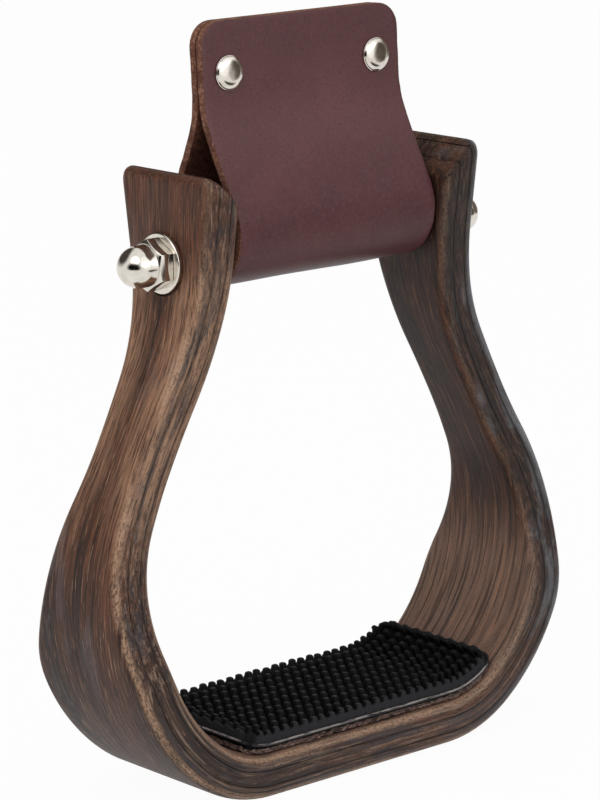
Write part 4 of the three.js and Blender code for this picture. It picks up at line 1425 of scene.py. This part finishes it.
def skirt_ring():
    """The skirt as a ring of its own, sunk a little into the plate."""
    bpy.ops.mesh.primitive_plane_add(size=1, location=(0, 0, PLATE_TOP - SKIRT_SUNK))
    ring = bpy.context.object
    ring.name = "skirt"
    length, depth = (side - 2 * SKIRT_LEDGE for side in (PAD_LENGTH, PAD_DEPTH))
    ring.scale = (length, depth, 1)
    freeze(ring)
    edit(ring)
    pick_all()
    bpy.ops.mesh.bevel(offset=SKIRT_CORNER, segments=7, affect="VERTICES")
    pick("faces", lambda part: True)
    bpy.ops.mesh.delete(type="ONLY_FACE")
    # First the two long sides are divided, then the two ends
    for cuts, shortest in ((111, 80 * MM), (50, 20 * MM)):
        pick("edges", lambda part: (part.verts[0].co - part.verts[1].co).length > shortest)
        bpy.ops.mesh.subdivide(number_cuts=cuts)
    pick_all()
    bpy.ops.mesh.edge_face_add()
    bpy.ops.mesh.inset(thickness=SKIRT_WIDTH)
    bpy.ops.mesh.delete(type="ONLY_FACE")
    pick_all()
    for rise in (SKIRT_SUNK, SKIRT_TOP - PLATE_TOP):
        draw_out((0, 0, rise))
    face_outwards()
    shape = bmesh.from_edit_mesh(ring.data)
    for point in shape.verts:
        from_end = length / 2 - abs(point.co.x)
        from_side = depth / 2 - abs(point.co.y)
        top = point.co.z > SKIRT_TOP - TOUCH
        if min(from_end, from_side) > SKIRT_WIDTH * 1.1:
            continue
        if from_side < from_end:
            near = swell(point.co.x, PITCH_ALONG, 0)
            out = Vector((0, math.copysign(SKIRT_SWELL, point.co.y), 0))
        else:
            near = swell(point.co.y, PITCH_ACROSS, PITCH_ACROSS / 2)
            out = Vector((math.copysign(SKIRT_SWELL, point.co.x), 0, 0))
        if min(from_end, from_side) < SKIRT_WIDTH / 2 and max(from_end, from_side) > PAD_CORNER:
            point.co += out * near
        if top:
            point.co.z += (near - 0.6) * SKIRT_WAVE
    bmesh.update_edit_mesh(ring.data)
    round_edges(lambda part: middle(part).z > SKIRT_TOP - MM and part.calc_face_angle(0) > 1,
                SKIRT_EDGE, 3, clamp=True)
    done()
    return ring


skirt = skirt_ring()
print("skirt", len(skirt.data.polygons), "faces, top", max(p.co.z for p in skirt.data.vertices) / MM)

# %% [markdown]
# The pad is glued to a thin fibrous sheet, and its torn edge shows under the pad as a pale,
# ragged line. The sheet is a fine grid whose outline is frayed with noise and then thickened.
# Last, the pad and the sheet are pressed onto the tread, and keep a note of their flat places.

# %% Backing sheet, and onto the tread
SHEET_INSET = 1.15 * MM
SHEET_CURL = 0.55 * MM
SHEET_LOW = 0.2 * MM
SHEET_HIGH = 1.2 * MM
SHEET_CORNER = 6 * MM
FRAY = 0.5 * MM
FRAY_LUMP = 1.3 * MM
RAGGED = 0.3 * MM
RAGGED_LUMP = 2.5 * MM
RAGGED_RIM = 0.9 * MM
LOW_SHARE = 0.6


def backing_sheet():
    """The flat sheet with its frayed and curled outline."""
    length, depth = (side - 2 * SHEET_INSET for side in (PAD_LENGTH, PAD_DEPTH))
    bpy.ops.mesh.primitive_grid_add(
        x_subdivisions=160, y_subdivisions=60, size=1, location=(0, 0, SHEET_LOW))
    sheet = bpy.context.object
    sheet.name = "pad_backing_sheet"
    sheet.scale = (length, depth, 1)
    freeze(sheet)
    for point in sheet.data.vertices:
        x, y = point.co.xy
        point.co.xy = draw_round(x, y, length / 2, depth / 2, SHEET_CORNER)
        if min(length / 2 - abs(x), depth / 2 - abs(y)) < TOUCH:
            frayed = noise.noise(Vector((x, y, 0)) / FRAY_LUMP) * FRAY
            scale = 1 - frayed / max(abs(x), abs(y))
            point.co.x *= scale
            point.co.y *= scale
    edit(sheet)
    pick_all()
    draw_out((0, 0, SHEET_HIGH - SHEET_LOW))
    face_outwards()
    done()
    for point in sheet.data.vertices:
        inset = min(length / 2 - abs(point.co.x), depth / 2 - abs(point.co.y))
        ragged = noise.noise(Vector((point.co.x, point.co.y, 0)) / RAGGED_LUMP) * RAGGED
        if inset < RAGGED_RIM:
            share = LOW_SHARE if point.co.z < SHEET_HIGH - TOUCH else 1
            point.co.z += SHEET_CURL * share + ragged
    return sheet


def press_onto_tread(piece):
    """Marks each corner's flat place and its distance from the pad's outline, and bends the piece."""
    flat = [point.co + Vector((PAD_OFFSET, 0, 0)) for point in piece.data.vertices]
    inset = [min(PAD_LENGTH / 2 - abs(p.co.x), PAD_DEPTH / 2 - abs(p.co.y)) for p in piece.data.vertices]
    mark(piece, flat, "inset", inset)
    for point, place in zip(piece.data.vertices, flat):
        point.co = wrap(place)


cut_away(pad, skirt, "UNION")
for point in pad.data.vertices:
    point.co.xy = draw_round(
        point.co.x, point.co.y, PAD_LENGTH / 2, PAD_DEPTH / 2, WIDE_CORNER, WIDE_SHARE)
pad.name = "tread_pad_rubber"
backing = backing_sheet()
press_onto_tread(pad)
press_onto_tread(backing)
smooth(pad, 35)
smooth(backing, 30)
print("pad", len(pad.data.polygons), "faces, backing", len(backing.data.polygons), "faces")

# %% [markdown]
# The rubber is nearly black and dull. Its moulded texture is a fine grain, the nubs' tips are
# lighter grey in patches, and a pale line is painted along the lip of the plate as a highlight.
# The backing is pinkish grey fibre board with light lint and dark gaps between its fibres.

# %% Rubber and backing


def black_rubber():
    """Nearly black, with lighter tips and a painted highlight along the lip, for the pad."""
    material, tree = new_material("black rubber")
    strip = add(tree, "ShaderNodeAttribute", out="Vector", attribute_name="strip")
    inset = add(tree, "ShaderNodeAttribute", out="Fac", attribute_name="inset")
    height = add(tree, "ShaderNodeSeparateXYZ", {"Vector": strip}, out="Z")
    # Black with slow greyish patches of bloom
    bloom_and_sheen = speck(tree, strip, 9, 4, 0.6)
    base = add(tree, "ShaderNodeValToRGB", {"Fac": bloom_and_sheen}, stops=[(0.35, "#050506"), (0.7, "#0b0b0d")])
    # The skirt is a shade greyer than the nubs, where fingers and boots rub it
    base = layer(tree, base, inset, 1.4 * MM, 0.9 * MM, 0.5, "#2f2f33")
    # The nubs' tips lighter grey in patches
    on_tip = add(tree, "ShaderNodeMapRange", {"Value": height, "From Min": 6.9 * MM, "From Max": 7.15 * MM})
    base = layer(tree, base, speck(tree, strip, 1.6, 3, 0.7, 4), 0.5, 0.7, 0.3, "#4a4a4e", on_tip)
    # Painted highlight: a pale line along the lip of the plate, broken in places
    above = add(tree, "ShaderNodeMapRange", {"Value": height, "From Min": 2.9 * MM, "From Max": 3.25 * MM})
    below = add(tree, "ShaderNodeMapRange", {"Value": height, "From Min": 3.7 * MM, "From Max": 3.55 * MM})
    on_lip = add(tree, "ShaderNodeMath", {0: above, 1: below}, operation="MULTIPLY")
    outside = add(tree, "ShaderNodeMapRange", {"Value": inset, "From Min": 0.36 * MM, "From Max": 0.2 * MM})
    on_lip = add(tree, "ShaderNodeMath", {0: on_lip, 1: outside}, operation="MULTIPLY")
    base = layer(tree, base, grain(tree, strip, (7, 1, 1), 4, 0.7, 14), 0.36, 0.54, 0.75, "#b3aaa6", on_lip)
    rough = add(tree, "ShaderNodeMapRange", {"Value": bloom_and_sheen, "To Min": 0.62, "To Max": 0.8})
    finish(tree, base, rough, speck(tree, strip, 0.5, 3, 0.7, 27), 0.06, 0.7, {"Specular IOR Level": 0.2})
    return material


def fibre_backing():
    """Pinkish grey lint and dark gaps, for the sheet under the pad."""
    material, tree = new_material("fibre backing")
    strip = add(tree, "ShaderNodeAttribute", out="Vector", attribute_name="strip")
    fibres = grain(tree, strip, (1.6, 0.5, 0.35), 4, 0.75)
    base = add(tree, "ShaderNodeValToRGB", {"Fac": fibres}, stops=[
        (0.36, "#33241f"), (0.47, "#5a4740"), (0.58, "#836c64"), (0.72, "#c4b5ae")])
    base = layer(tree, base, grain(tree, strip, (3.2, 1.2, 0.9), 3, 0.7, 6), 0.5, 0.58, 0.75, "#241814")
    rough = add(tree, "ShaderNodeMapRange", {"Value": fibres, "To Min": 0.9, "To Max": 1})
    finish(tree, base, rough, fibres, 0.3, 1.0, {"Specular IOR Level": 0.2})
    return material


pad.data.materials.clear()
pad.data.materials.append(black_rubber())
backing.data.materials.append(fibre_backing())
hand_over(pad, "frame", "black_rubber", "tread_pad")
hand_over(backing, "frame", "pad_backing", "pad_backing")
